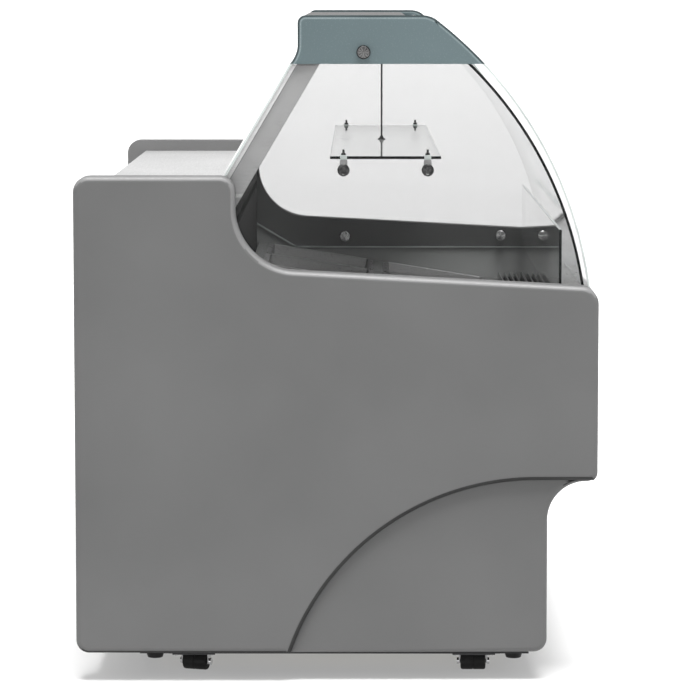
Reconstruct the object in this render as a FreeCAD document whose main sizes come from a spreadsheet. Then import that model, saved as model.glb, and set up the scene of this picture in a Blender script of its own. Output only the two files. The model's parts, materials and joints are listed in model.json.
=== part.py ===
# Ice cream dipping cabinet: a refrigerated display well between two moulded end panels,
# with fixed side glass, a lift-up curved front glass and sliding doors on the server's side.
# Millimetres. X runs along the cabinet, the customer stands at -Y, Z is up, the floor is Z = 0.
import FreeCAD, Part
import Sketcher
import math
import os

V = FreeCAD.Vector
doc = FreeCAD.newDocument("DippingCabinet")
sheet = doc.addObject("Spreadsheet::Sheet", "sizes")


class Size:
    # A number together with the spreadsheet formula that gives it.
    def __init__(self, value, text):
        self.value = value
        self.text = text

    def __add__(self, other):
        other = asSize(other)
        return Size(self.value + other.value, "(%s + %s)" % (self.text, other.text))

    def __radd__(self, other):
        return asSize(other) + self

    def __sub__(self, other):
        other = asSize(other)
        return Size(self.value - other.value, "(%s - %s)" % (self.text, other.text))

    def __rsub__(self, other):
        return asSize(other) - self

    def __mul__(self, other):
        other = asSize(other)
        return Size(self.value * other.value, "(%s * %s)" % (self.text, other.text))

    def __rmul__(self, other):
        return asSize(other) * self

    def __truediv__(self, other):
        other = asSize(other)
        return Size(self.value / other.value, "(%s / %s)" % (self.text, other.text))

    def __neg__(self):
        return Size(-self.value, "(0 - %s)" % self.text)


def asSize(number):
    return number if isinstance(number, Size) else Size(float(number), repr(float(number)))


def sine(angle):
    return Size(math.sin(math.radians(angle.value)), "sin(%s)" % angle.text)


def cosine(angle):
    return Size(math.cos(math.radians(angle.value)), "cos(%s)" % angle.text)


def tangent(angle):
    return Size(math.tan(math.radians(angle.value)), "tan(%s)" % angle.text)


def root(number):
    return Size(math.sqrt(number.value), "sqrt(%s)" % number.text)


# Driving dimensions: name, value, what it is.
table = [
    ("cabinetLength", 1800, "over the end panels"),
    ("cabinetDepth", 1072, "front edge to rear edge of an end panel"),
    ("cabinetHeight", 1368, "floor to the top of the side glass"),
    ("panelThick", 60, "moulded end panel"),
    ("panelFoot", 60, "floor to the bottom edge of an end panel"),
    ("panelTop", 1042, "floor to the rear top edge of an end panel"),
    ("panelEdge", 11, "rounding round the outer face"),
    ("footCorner", 27, "bottom corners"),
    ("topCorner", 32, "rear top corners"),
    ("frontCorner", 36, "front top corner"),
    ("kickCorner", 20, "corner above the kick recess"),
    ("scoopFace", 206.5, "upright inner edge of the rear part of the panel"),
    ("scoopRadius", 126, "hollow from the upright edge to the ledge"),
    ("scoopHeight", 974.5, "height of the hollow's centre"),
    ("ledgeSlope", 3.05, "fall of the ledge towards the customer"),
    ("kickHeight", 415, "underside of the front over the kick recess"),
    ("kickRadius", 80, "hollow behind the customer's feet"),
    ("kickDepth", 102, "front edge to the back of the kick recess"),
    ("reliefDepth", 15, "step of the lower end panel"),
    ("reliefRadius", 533, "sweep of the step"),
    ("reliefCentreY", -410, "centre of the sweep"),
    ("reliefHeight", 419, "top of the step"),
    ("sideGlassThick", 8, "fixed side glass"),
    ("sideGlassFoot", 771, "bottom edge of the side glass"),
    ("sideArcY", 299, "centre of the side glass's front curve"),
    ("sideArcZ", 703, "centre of the side glass's front curve"),
    ("sideArcRadius", 827, "front curve of the side glass"),
    ("sideRear", 79, "rear edge of the side glass at the canopy"),
    ("sideCheek", 231, "rear edge of the side glass beside the well"),
    ("bandHeight", 99, "opaque band over the canopy's end"),
    ("rearSlope", 30.5, "lean of the server's side from upright"),
    ("postFootY", 221, "foot of the post's rear edge"),
    ("postFootZ", 1030, "foot of the post's rear edge"),
    ("postWide", 40, "post, square to its lean"),
    ("postLong", 32, "post along the cabinet"),
    ("canopyDrop", 5, "canopy top below the glass top"),
    ("canopyWall", 3, "canopy extrusion"),
    ("canopyFront", 235, "lower front edge of the canopy before the middle plane"),
    ("canopyNose", 150, "upper front edge of the canopy before the middle plane"),
    ("glassThick", 6, "front glass, inner front glass and shelf"),
    ("glassArcY", 282, "centre of the front glass's curve"),
    ("glassArcZ", 696, "centre of the front glass's curve"),
    ("glassRadius", 800, "outer face of the front glass"),
    ("glassTopAngle", 53, "top edge of the front glass above level"),
    ("glassFootAngle", 8.4, "bottom edge of the front glass above level"),
    ("hingeAngle", 54.3, "hinge line above level"),
    ("clampWall", 4, "cheeks of the front glass clamp"),
    ("clampTube", 9, "radius of the clamp's knuckle"),
    ("pinRadius", 5, "hinge pins"),
    ("runningGap", 0.05, "radial play of a pin or shaft"),
    ("slideGap", 0.5, "play of sliding pieces"),
    ("glassGap", 2, "front glass to side glass"),
    ("shelfTop", 1080, "top of the glass shelf"),
    ("shelfFront", -215, "front edge of the shelf"),
    ("shelfRear", 13, "rear edge of the shelf"),
    ("clipInset", 27.6, "shelf clips in from the shelf's edges"),
    ("clipRadius", 12.5, "shelf clip discs"),
    ("rodRadius", 2, "shelf hanger"),
    ("knobRadius", 13, "glass fixing knobs"),
    ("knobLong", 12, "glass fixing knobs"),
    ("studRadius", 5, "studs through the side glass"),
    ("worktopTop", 1015, "server's worktop"),
    ("worktopThick", 32, "foam-filled worktop"),
    ("worktopInset", 42, "rear edge of the worktop in from the end panels"),
    ("trackLip", 1.4, "door track lips"),
    ("trackDeep", 8, "door track lips"),
    ("doorThick", 5, "door frames"),
    ("doorStile", 28, "door frame members"),
    ("doorOverlap", 30, "doors past each other when shut"),
    ("doorPane", 3, "door glazing"),
    ("tubWall", 3, "well liner"),
    ("tubFloor", 467, "underside of the well liner"),
    ("tubFront", 472, "front of the well liner before the middle plane"),
    ("tubRear", 236, "back of the well liner behind the middle plane"),
    ("foamThick", 44, "insulation"),
    ("ductDeep", 22, "rear air duct"),
    ("deckSlope", 9.1, "fall of the pan deck towards the customer"),
    ("deckDatumY", 112.7, "a point on top of the pan deck"),
    ("deckThick", 3, "pan deck"),
    ("deckRear", 93, "deck behind its datum"),
    ("deckFront", 517, "deck before its datum"),
    ("deckBorder", 25, "deck between and around the pans"),
    ("panLong", 325, "pan rim along the cabinet"),
    ("panWide", 265, "pan rim across the cabinet"),
    ("panDeep", 150, "pan"),
    ("panRim", 11, "overhang of the rim"),
    ("panWall", 1.5, "pan sheet"),
    ("panSpare", 2, "least gap between pan rims"),
    ("panGap", 1, "pan body to deck"),
    ("innerGlassTop", 930, "inner front glass"),
    ("innerGlassFoot", 700, "inner front glass"),
    ("innerGlassY", -463, "front face of the inner front glass"),
    ("grilleTop", 709, "return air grille"),
    ("grilleWide", 58, "return air grille"),
    ("ledgeTop", 811, "ledge under the front glass"),
    ("ledgeSheet", 3, "ledge and front panel sheet"),
    ("frontInset", 12, "front panel behind the end panels' front edges"),
    ("rearInset", 26, "rear panel inside the end panels' rear edges"),
    ("sheetThick", 4, "kick and rear panel"),
    ("railTall", 50, "base frame members"),
    ("railWide", 60, "base frame members"),
    ("footY", -370, "front levelling feet"),
    ("footRearY", 380, "rear levelling feet"),
    ("footInset", 125, "levelling feet in from the end panels' outer faces"),
    ("footRadius", 19.5, "levelling foot pad"),
    ("footPad", 14, "levelling foot pad"),
    ("stemRadius", 6, "levelling foot stem"),
    ("casterInset", 135, "casters in from the end panels' outer faces"),
    ("casterFrontY", -286, "front casters"),
    ("casterRearY", 298, "rear casters"),
    ("casterPlate", 89, "caster top plate"),
    ("casterSheet", 4, "caster top plate"),
    ("wheelRadius", 18, "caster wheel"),
    ("wheelWide", 52, "caster wheel"),
    ("casterTrail", 10, "axle behind the swivel pin"),
    ("crownThick", 2.4, "caster fork sheet over the wheel"),
    ("crownGap", 0.6, "caster fork to its top plate"),
    ("wheelGap", 1, "wheel to fork"),
    ("axleRadius", 4, "caster axle"),
    ("fanRadius", 105, "condenser fan"),
    ("coolFanRadius", 60, "evaporator fan"),
    ("shaftRadius", 4, "fan motor shafts"),
    ("compressorRadius", 85, "compressor can"),
    ("compressorX", 390, "compressor"),
    ("compressorY", 20, "compressor"),
    ("pipeRadius", 6, "refrigerant pipe"),
    ("drainRadius", 12, "drain pipe"),
    ("drainX", -680, "drain"),
    ("drainY", -100, "drain"),
]
size = {}
for row, (name, number, note) in enumerate(table, start=1):
    sheet.set("A%d" % row, name)
    sheet.set("B%d" % row, str(number))
    sheet.setAlias("B%d" % row, name)
    sheet.set("C%d" % row, note)
    size[name] = Size(float(number), "<<sizes>>.%s" % name)
doc.recompute()


class Named:
    pass


s = Named()
for name, entry in size.items():
    setattr(s, name, entry)


# ---- building blocks ----
def setSize(thing, prop, value):
    value = asSize(value)
    if "<<" in value.text:
        thing.setExpression(prop, value.text)
    else:
        setattr(thing, prop, value.value)


def place(thing, x=0, y=0, z=0, axis=V(0, 0, 1), angle=0):
    spot = [asSize(number) for number in (x, y, z)]
    turn = asSize(angle)
    thing.Placement = FreeCAD.Placement(V(*[number.value for number in spot]),
                                        FreeCAD.Rotation(axis, turn.value))
    for letter, number in zip("xyz", spot):
        if "<<" in number.text:
            thing.setExpression("Placement.Base." + letter, number.text)
    if "<<" in turn.text:
        thing.setExpression("Placement.Rotation.Angle", turn.text)
    return thing


def box(name, x, y, z):
    # A block between low and high values along each axis.
    block = doc.addObject("Part::Box", name)
    for prop, (low, high) in zip(("Length", "Width", "Height"), (x, y, z)):
        setSize(block, prop, asSize(high) - low)
    return place(block, x[0], y[0], z[0])


turns = {"x": (V(0, 1, 0), 90), "y": (V(1, 0, 0), -90), "z": (V(0, 0, 1), 0)}


def rod(name, along, start, radius, length):
    # A round bar from a point, along +X, +Y or +Z.
    bar = doc.addObject("Part::Cylinder", name)
    setSize(bar, "Radius", radius)
    setSize(bar, "Height", length)
    axis, angle = turns[along]
    return place(bar, *start, axis=axis, angle=angle)


def cone(name, start, low, high, length):
    bar = doc.addObject("Part::Cone", name)
    setSize(bar, "Radius1", low)
    setSize(bar, "Radius2", high)
    setSize(bar, "Height", length)
    return place(bar, *start)


def cut(name, base, *tools):
    if len(tools) > 1:
        tool = doc.addObject("Part::MultiFuse", name + "_tools")
        tool.Shapes = list(tools)
    else:
        tool = tools[0]
    made = doc.addObject("Part::Cut", name)
    made.Base = base
    made.Tool = tool
    return made


def fuse(name, *pieces):
    made = doc.addObject("Part::MultiFuse", name)
    made.Shapes = list(pieces)
    return made


def group(name, *pieces):
    # Separate solids that share one node.
    made = doc.addObject("Part::Compound", name)
    made.Links = list(pieces)
    return made


def mirrored(name, source):
    made = doc.addObject("Part::Mirroring", name)
    made.Source = source
    made.Normal = V(1, 0, 0)
    return made


def drawOutline(sketch, points):
    # Each point is (across, up) or, where the next edge is an arc, (across, up, radius, side),
    # with side +1 when the arc's centre lies left of the way round and -1 when right.
    count = len(points)
    spots = [(asSize(point[0]), asSize(point[1])) for point in points]
    ends = []
    for number, point in enumerate(points):
        first = V(spots[number][0].value, spots[number][1].value, 0)
        second = V(spots[(number + 1) % count][0].value, spots[(number + 1) % count][1].value, 0)
        if len(point) == 2:
            sketch.addGeometry(Part.LineSegment(first, second), False)
            ends.append((1, 2))
            continue
        radius = asSize(point[2]).value
        middle = (first + second) * 0.5
        chord = second - first
        left = V(-chord.y, chord.x, 0).normalize()
        rise = math.sqrt(max(radius ** 2 - chord.Length ** 2 / 4, 0.0))
        centre = middle + left * (rise * point[3])
        start = math.atan2(first.y - centre.y, first.x - centre.x)
        stop = math.atan2(second.y - centre.y, second.x - centre.x)
        if point[3] < 0:
            start, stop = stop, start
        if stop < start:
            stop += 2 * math.pi
        circle = Part.Circle(centre, V(0, 0, 1), radius)
        sketch.addGeometry(Part.ArcOfCircle(circle, start, stop), False)
        ends.append((1, 2) if point[3] > 0 else (2, 1))
    for number in range(count):
        after = (number + 1) % count
        sketch.addConstraint(Sketcher.Constraint("Coincident", number, ends[number][1],
                                                 after, ends[after][0]))
    for number, spot in enumerate(spots):
        for kind, value in zip(("DistanceX", "DistanceY"), spot):
            index = sketch.addConstraint(Sketcher.Constraint(kind, -1, 1, number,
                                                             ends[number][0], value.value))
            if "<<" in value.text:
                sketch.setExpression("Constraints[%d]" % index, value.text)
    for number, point in enumerate(points):
        if len(point) > 2:
            radius = asSize(point[2])
            index = sketch.addConstraint(Sketcher.Constraint("Radius", number, radius.value))
            if "<<" in radius.text:
                sketch.setExpression("Constraints[%d]" % index, radius.text)


def sketchOn(body, role, name, points):
    plane = [feature for feature in body.Origin.OriginFeatures if feature.Role == role][0]
    sketch = body.newObject("Sketcher::SketchObject", name)
    sketch.AttachmentSupport = [(plane, "")]
    sketch.MapMode = "FlatFace"
    drawOutline(sketch, points)
    return sketch


def profile(name, points, start, length, role="YZ_Plane"):
    # A body whose outline is drawn across the cabinet and padded along X.
    body = doc.addObject("PartDesign::Body", name)
    sketch = sketchOn(body, role, name + "_outline", points)
    pad = body.newObject("PartDesign::Pad", name + "_pad")
    pad.Profile = sketch
    setSize(pad, "Length", length)
    sketch.Visibility = False
    place(body, x=start)
    doc.recompute()
    return body


def roundCorners(body, name, spots, radius):
    # Rounds the edges that run along X through the given points of the outline.
    base = body.Tip
    places = [(asSize(spot[0]).value, asSize(spot[1]).value) for spot in spots]
    found = []
    for number, edge in enumerate(base.Shape.Edges, start=1):
        corners = [vertex.Point for vertex in edge.Vertexes]
        for across, up in places:
            if all(math.hypot(point.y - across, point.z - up) < 0.01 for point in corners):
                found.append("Edge%d" % number)
    fillet = body.newObject("PartDesign::Fillet", name)
    fillet.Base = (base, found)
    setSize(fillet, "Radius", radius)
    doc.recompute()
    return fillet


nodes = []


def keep(thing, label):
    thing.Label = label
    nodes.append(thing)
    return thing


# Places that many pieces share.
halfLong = s.cabinetLength / 2
halfDeep = s.cabinetDepth / 2
innerX = halfLong - s.panelThick
paneX = innerX - s.sideGlassThick
bandFoot = s.cabinetHeight - s.bandHeight
kickBack = s.kickDepth - halfDeep
frontFace = s.frontInset - halfDeep
rearFace = halfDeep - s.rearInset
railFoot = s.wheelRadius * 2 + s.wheelGap + s.crownThick + s.crownGap + s.casterSheet
footX = halfLong - s.footInset
casterX = halfLong - s.casterInset

# ---- end panels ----
scoopCentreY = s.scoopFace - s.scoopRadius
ledgeRearY = scoopCentreY + s.scoopRadius * sine(s.ledgeSlope)
ledgeRearZ = s.scoopHeight - s.scoopRadius * cosine(s.ledgeSlope)
ledgeFrontZ = ledgeRearZ - (ledgeRearY + halfDeep) * tangent(s.ledgeSlope)
endOutline = [
    (halfDeep, s.panelFoot),
    (halfDeep, s.panelTop),
    (s.scoopFace, s.panelTop),
    (s.scoopFace, s.scoopHeight, s.scoopRadius, -1),
    (ledgeRearY, ledgeRearZ),
    (-halfDeep, ledgeFrontZ),
    (-halfDeep, s.kickHeight),
    (kickBack - s.kickRadius, s.kickHeight, s.kickRadius, -1),
    (kickBack, s.kickHeight - s.kickRadius),
    (kickBack, s.panelFoot),
]
endPanel = profile("end_panel", endOutline, -halfLong, s.panelThick)
roundCorners(endPanel, "foot_corners", [endOutline[0], endOutline[9]], s.footCorner)
roundCorners(endPanel, "top_corners", [endOutline[1], endOutline[2]], s.topCorner)
roundCorners(endPanel, "front_corner", [endOutline[5]], s.frontCorner)
roundCorners(endPanel, "kick_corner", [endOutline[6]], s.kickCorner)
outer = endPanel.Tip
outerEdges = ["Edge%d" % number for number, edge in enumerate(outer.Shape.Edges, start=1)
              if abs(edge.BoundBox.XMax) < 0.01]
edging = endPanel.newObject("PartDesign::Fillet", "outer_edge")
edging.Base = (outer, outerEdges)
setSize(edging, "Radius", s.panelEdge)
doc.recompute()
reliefBelow = 40
reliefCentreZ = s.reliefHeight - s.reliefRadius
reliefFootZ = s.panelFoot - reliefBelow
reliefFootY = s.reliefCentreY + root(s.reliefRadius * s.reliefRadius
                                     - (reliefFootZ - reliefCentreZ) * (reliefFootZ - reliefCentreZ))
relief = sketchOn(endPanel, "YZ_Plane", "relief_outline", [
    (s.reliefCentreY, s.reliefHeight),
    (-halfDeep - reliefBelow, s.reliefHeight),
    (-halfDeep - reliefBelow, reliefFootZ),
    (reliefFootY, reliefFootZ, s.reliefRadius, 1),
])
step = endPanel.newObject("PartDesign::Pocket", "relief_step")
step.Profile = relief
setSize(step, "Length", s.reliefDepth)
step.Reversed = True
before = edging.Shape.Volume
doc.recompute()
if not endPanel.Shape.Volume < before - 1000:
    raise SystemExit("the relief step took nothing off the end panel")
keep(endPanel, "end_panel_left")
keep(mirrored("end_panel_mirror", endPanel), "end_panel_right")

# ---- side glass ----
sideTop = s.cabinetHeight
sideNose = s.sideArcY - root(s.sideArcRadius * s.sideArcRadius
                             - (sideTop - s.sideArcZ) * (sideTop - s.sideArcZ))
sideToe = s.sideArcY - root(s.sideArcRadius * s.sideArcRadius
                            - (s.sideGlassFoot - s.sideArcZ) * (s.sideGlassFoot - s.sideArcZ))
flareOut = 16
flareTall = 36
cheekTop = bandFoot - (s.sideCheek - s.sideRear - flareOut) / tangent(s.rearSlope)
sideOutline = [
    (s.deckDatumY, s.sideGlassFoot),
    (s.sideCheek - 19, s.sideGlassFoot + 59),
    (s.sideCheek, s.sideGlassFoot + 82),
    (s.sideCheek, cheekTop),
    (s.sideRear + flareOut, bandFoot, 60, -1),
    (s.sideRear, bandFoot + flareTall),
    (s.sideRear, sideTop),
    (sideNose, sideTop, s.sideArcRadius, 1),
    (sideToe, s.sideGlassFoot),
]
sidePane = profile("side_pane", sideOutline, -innerX, s.sideGlassThick)
roundCorners(sidePane, "pane_rear_corner", [sideOutline[6]], 16)
roundCorners(sidePane, "pane_nose_corner", [sideOutline[7]], 40)
knobSpots = [(-55.5, bandFoot + 24), (-11, s.sideGlassFoot + 29), (-403.5, s.sideGlassFoot + 31)]
studGap = 0.3
holes = [rod("stud_hole%d" % number, "x", (-innerX - 5, y, z), s.studRadius + studGap,
             s.sideGlassThick + 10) for number, (y, z) in enumerate(knobSpots)]
sideGlass = cut("side_glass", sidePane, *holes)
keep(sideGlass, "side_glass_left")
keep(mirrored("side_glass_mirror", sideGlass), "side_glass_right")

# ---- glass fixing knobs: one through the band from outside, two into the end panel from inside ----
knobs = []
for number, (y, z) in enumerate(knobSpots):
    outside = number == 0
    knobStart = -innerX - s.knobLong if outside else -paneX
    stud = rod("stud%d" % number, "x", (-innerX, y, z), s.studRadius, s.sideGlassThick)
    knob = rod("knob%d" % number, "x", (knobStart, y, z), s.knobRadius, s.knobLong)
    left = fuse("knob_left%d" % number, stud, knob)
    knobs += [left, mirrored("knob_right%d" % number, left)]
keep(group("knobs", *knobs), "standoff_screws")

# ---- canopy ----
canopyTop = s.cabinetHeight - s.canopyDrop
canopyFoot = bandFoot + 4
canopyRear = s.sideRear - 4
canopyOutline = [
    (canopyRear + 8, canopyFoot),
    (canopyRear, canopyFoot + 28),
    (canopyRear, canopyTop),
    (-s.canopyNose, canopyTop),
    (-s.canopyNose - 6, canopyTop - 11),
    (-s.canopyFront, canopyFoot),
]
canopyOuter = profile("canopy_outer", canopyOutline, -paneX, paneX * 2)
wall = s.canopyWall
canopyHollow = profile("canopy_hollow", [
    (canopyRear - wall * 2, canopyFoot - 10),
    (canopyRear - wall * 2, canopyFoot + 28),
    (canopyRear - wall * 2, canopyTop - wall),
    (-s.canopyNose + wall, canopyTop - wall),
    (-s.canopyNose - 6 + wall * 2, canopyTop - 12 - wall),
    (-s.canopyFront + wall * 6, canopyFoot + wall * 2),
    (-s.canopyFront + wall * 6, canopyFoot - 10),
], -paneX - 5, paneX * 2 + 10)
keep(cut("canopy", canopyOuter, canopyHollow), "canopy_shell")

# ---- lamp: tube in two holders over a diffuser that closes the canopy ----
lampY = -70
lampZ = canopyFoot + 34
tubeRadius = 8
lampEnd = paneX - 60
diffuser = box("diffuser", (-paneX, paneX), (-s.canopyFront + wall * 6, canopyRear - wall * 2),
               (canopyFoot, canopyFoot + 3))
tube = rod("lamp_tube", "x", (-lampEnd, lampY, lampZ), tubeRadius, lampEnd * 2)
holders = []
for side in (-1, 1):
    inner = lampEnd * side if side > 0 else -lampEnd - 12
    holders.append(box("lamp_holder%d" % side, (inner, inner + 12), (lampY - 12, lampY + 12),
                       (canopyFoot + 3, lampZ + 12)))
keep(group("lamp", diffuser, tube, *holders), "canopy_lamp")

# ---- front glass, its clamp and its two hinge pins ----
glassInner = s.glassRadius - s.glassThick


def onArc(radius, angle):
    return s.glassArcY - radius * cosine(angle), s.glassArcZ + radius * sine(angle)


def curvedSheet(name, inner, outer, low, high, start, length):
    innerFoot = onArc(inner, low)
    outerFoot = onArc(outer, low)
    outerTop = onArc(outer, high)
    innerTop = onArc(inner, high)
    return profile(name, [
        innerTop,
        (outerTop[0], outerTop[1], outer, 1),
        outerFoot,
        (innerFoot[0], innerFoot[1], inner, -1),
    ], start, length)


glassHalf = paneX - s.glassGap
frontGlass = curvedSheet("front_glass_sheet", glassInner, s.glassRadius, s.glassFootAngle,
                         s.glassTopAngle, -glassHalf, glassHalf * 2)
keep(frontGlass, "front_glass")
hingeY, hingeZ = onArc(s.glassRadius - s.glassThick / 2, s.hingeAngle)
plateThick = 6
clampHalf = paneX - plateThick - s.glassGap
clampReach = 2.6
cheeks = curvedSheet("clamp_cheeks", glassInner - s.clampWall, s.glassRadius + s.clampWall,
                     s.glassTopAngle - clampReach, s.hingeAngle, -clampHalf, clampHalf * 2)
knuckle = rod("clamp_knuckle", "x", (-clampHalf, hingeY, hingeZ), s.clampTube, clampHalf * 2)
clampBody = fuse("clamp_body", cheeks, knuckle)
pinLong = 24
bores = [rod("clamp_bore%d" % side, "x", (start, hingeY, hingeZ), s.pinRadius + s.runningGap,
             pinLong + 2)
         for side, start in ((-1, -clampHalf - 1), (1, clampHalf - pinLong - 1))]
keep(cut("clamp", clampBody, frontGlass, *bores), "front_glass_clamp")
pinPlate = rod("pin_plate", "x", (-paneX, hingeY, hingeZ), s.clampTube + 4, plateThick)
pin = rod("pin", "x", (-paneX, hingeY, hingeZ), s.pinRadius, plateThick + pinLong - 3)
pinLeft = fuse("hinge_pin_left", pinPlate, pin)
keep(group("hinge_pins_both", pinLeft, mirrored("hinge_pin_right", pinLeft)), "hinge_pins")

# ---- glass shelf, its clips and its hanger ----
shelfHalf = paneX - 10
shelfFoot = s.shelfTop - s.glassThick
shelf = box("shelf", (-shelfHalf, shelfHalf), (s.shelfFront, s.shelfRear), (shelfFoot, s.shelfTop))
keep(shelf, "glass_shelf")
fittings = []
for number, y in enumerate((s.shelfRear - s.clipInset, s.shelfFront + s.clipInset)):
    clipZ = shelfFoot - 22
    disc = rod("clip_disc%d" % number, "x", (-paneX, y, clipZ), s.clipRadius, 8)
    block = box("clip_block%d" % number, (-paneX + 2, -paneX + 26), (y - 8, y + 8), (clipZ, shelfFoot))
    web = box("clip_web%d" % number, (-paneX + 2, -shelfHalf), (y - 8, y + 8), (shelfFoot, s.shelfTop))
    jaw = box("clip_jaw%d" % number, (-paneX + 2, -paneX + 22), (y - 5, y + 5), (s.shelfTop, s.shelfTop + 8))
    clip = fuse("clip_left%d" % number, disc, block, web, jaw)
    cap = rod("clip_cap%d" % number, "x", (-innerX - 3, y, clipZ), s.clipRadius, 3)
    fittings += [clip, mirrored("clip_right%d" % number, clip), cap, mirrored("clip_cap_right%d" % number, cap)]
hangerY = -98
hanger = rod("hanger_rod", "z", (0, hangerY, s.shelfTop), s.rodRadius, canopyFoot - s.shelfTop)
hangerFoot = cone("hanger_foot", (0, hangerY, s.shelfTop), 9, 3, 8)
hangerTop = cone("hanger_top", (0, hangerY, canopyFoot - 8), 3, 9, 8)
fittings.append(fuse("hanger", hanger, hangerFoot, hangerTop))
keep(group("shelf_parts", *fittings), "shelf_fittings")

# ---- leaning posts on the server's side ----
lean = s.rearSlope
acrossPost = s.postWide / cosine(lean)
postTopY = s.postFootY - (canopyFoot - s.postFootZ) * tangent(lean)
postEndY = s.postFootY - 12
postEndZ = s.postFootZ - (postEndY + acrossPost - s.postFootY) / tangent(lean)
postOutline = [
    (s.postFootY, postEndZ),
    (s.postFootY, s.postFootZ),
    (postTopY, canopyFoot),
    (postTopY - acrossPost, canopyFoot),
    (postEndY, postEndZ),
]
post = profile("rear_post", postOutline, -paneX, s.postLong)
keep(group("posts", post, mirrored("rear_post_mirror", post)), "rear_posts")

# ---- door tracks, drawn square to the lean with their foot at the post's foot ----
laneWide = s.doorThick + s.slideGap * 2
trackWide = s.trackLip * 3 + laneWide * 2
trackHalf = paneX - s.postLong
trackTall = (canopyFoot - s.postFootZ - trackWide * sine(lean)) / cosine(lean)
trackBase = 3


def track(name, foot, lipTop):
    lane = s.trackLip + laneWide
    pieces = [box(name + "_base", (-trackHalf, trackHalf), (0, trackWide), (foot, foot + trackBase))]
    for number in range(3):
        low = lane * number
        pieces.append(box("%s_lip%d" % (name, number), (-trackHalf, trackHalf), (low, low + s.trackLip),
                          lipTop))
    return fuse(name, *pieces)


def leaning(name, thing):
    return place(group(name, thing), y=s.postFootY, z=s.postFootZ, axis=V(1, 0, 0), angle=lean)


lowerTrack = track("lower_track", 0, (0, s.trackDeep + trackBase))
upperFoot = trackTall - trackBase
upperTrack = track("upper_track", upperFoot, (upperFoot - s.trackDeep - 4, trackTall))
stile = leaning("stile_set", box("stile", (-paneX, -trackHalf), (0, trackWide), (0, trackTall)))
keep(group("tracks", leaning("lower_track_set", lowerTrack), leaning("upper_track_set", upperTrack),
           stile, mirrored("stile_mirror", stile)), "door_tracks")

# ---- sliding doors: the left one in the inner lane, the right one in the outer lane ----
doorFoot = trackBase + s.slideGap
doorHead = upperFoot - 4
doorWide = trackHalf + s.doorOverlap / 2 - s.slideGap
for number, word in enumerate(("left", "right")):
    start = -trackHalf + s.slideGap if number == 0 else trackHalf - s.slideGap - doorWide
    near = (s.trackLip + laneWide) * number + s.trackLip + s.slideGap
    outerFrame = box("door_outer_" + word, (start, start + doorWide), (near, near + s.doorThick),
                     (doorFoot, doorHead))
    inside = ((start + s.doorStile, start + doorWide - s.doorStile),
              (doorFoot + s.doorStile, doorHead - s.doorStile))
    hole = box("door_hole_" + word, inside[0], (near - 5, near + s.doorThick + 5), inside[1])
    gripX = start + 8 if number == 0 else start + doorWide - 20
    grip = box("door_grip_" + word, (gripX, gripX + 12), (near + s.doorThick / 2, near + s.doorThick + 5),
               (doorFoot + 70, doorHead - 70))
    frame = cut("door_members_" + word, outerFrame, hole, grip)
    keep(leaning("door_set_" + word, frame), "door_frame_" + word)
    paneNear = near + (s.doorThick - s.doorPane) / 2
    pane = box("door_sheet_" + word, inside[0], (paneNear, paneNear + s.doorPane), inside[1])
    keep(leaning("door_glazing_" + word, pane), "door_pane_" + word)

# ---- worktop ----
worktopFoot = s.worktopTop - s.worktopThick
trackHeelY = s.postFootY + trackWide * cosine(lean)
trackHeelZ = s.postFootZ + trackWide * sine(lean)
worktop = profile("worktop_foam", [
    (s.postFootY + 1, worktopFoot),
    (halfDeep - s.worktopInset, worktopFoot),
    (halfDeep - s.worktopInset, s.worktopTop),
    (trackHeelY + 6, s.worktopTop),
    (trackHeelY + 1, trackHeelZ - 1),
    (s.postFootY + 1, s.postFootZ - 0.5),
], -innerX, innerX * 2)
roundCorners(worktop, "worktop_edge", [(halfDeep - s.worktopInset, s.worktopTop)], 6)
keep(cut("worktop_notched", worktop, sidePane, mirrored("side_pane_mirror", sidePane)), "worktop")

# ---- well liner ----
tubTop = s.sideGlassFoot
tubOuter = box("tub_outer", (-innerX, innerX), (-s.tubFront, s.tubRear), (s.tubFloor, tubTop))
tubBack = box("tub_back", (-innerX, innerX), (s.tubRear - s.tubWall, s.tubRear), (tubTop, worktopFoot))
tubFace = box("tub_face", (-paneX, paneX), (-s.tubFront, s.tubWall - s.tubFront),
              (tubTop, s.ledgeTop - s.ledgeSheet))
tubInner = box("tub_inner", (s.tubWall - innerX, innerX - s.tubWall),
               (s.tubWall - s.tubFront, s.tubRear - s.tubWall), (s.tubFloor + s.tubWall, tubTop + 10))
pipeX = s.compressorX - 140
throughGap = 2
drainHole = rod("tub_drain_hole", "z", (s.drainX, s.drainY, s.tubFloor - 100),
                s.drainRadius + 0.3, 150)
pipeHole = rod("tub_pipe_hole", "z", (pipeX, s.compressorY, s.tubFloor - 100),
               s.pipeRadius + throughGap, 150)
tub = cut("tub", fuse("tub_sheet", cut("tub_box", tubOuter, tubInner), tubBack, tubFace),
          drainHole, pipeHole)
keep(tub, "well_liner")

# ---- insulation round the well ----
foamFoot = s.tubFloor - s.foamThick
foamRear = s.tubRear + s.foamThick
foamFront = -s.tubFront - s.foamThick + 6
floorSlab = cut("foam_floor", box("foam_floor_slab", (-innerX, innerX), (foamFront, foamRear),
                                  (foamFoot, s.tubFloor)), drainHole, pipeHole)
frontSlab = box("foam_front", (-paneX, paneX), (foamFront, -s.tubFront),
                (s.tubFloor, s.sideGlassFoot - 4))
rearSlab = box("foam_rear", (-innerX, innerX), (s.tubRear, foamRear), (s.tubFloor, worktopFoot))
keep(group("foam", floorSlab, frontSlab, rearSlab), "insulation")

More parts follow.
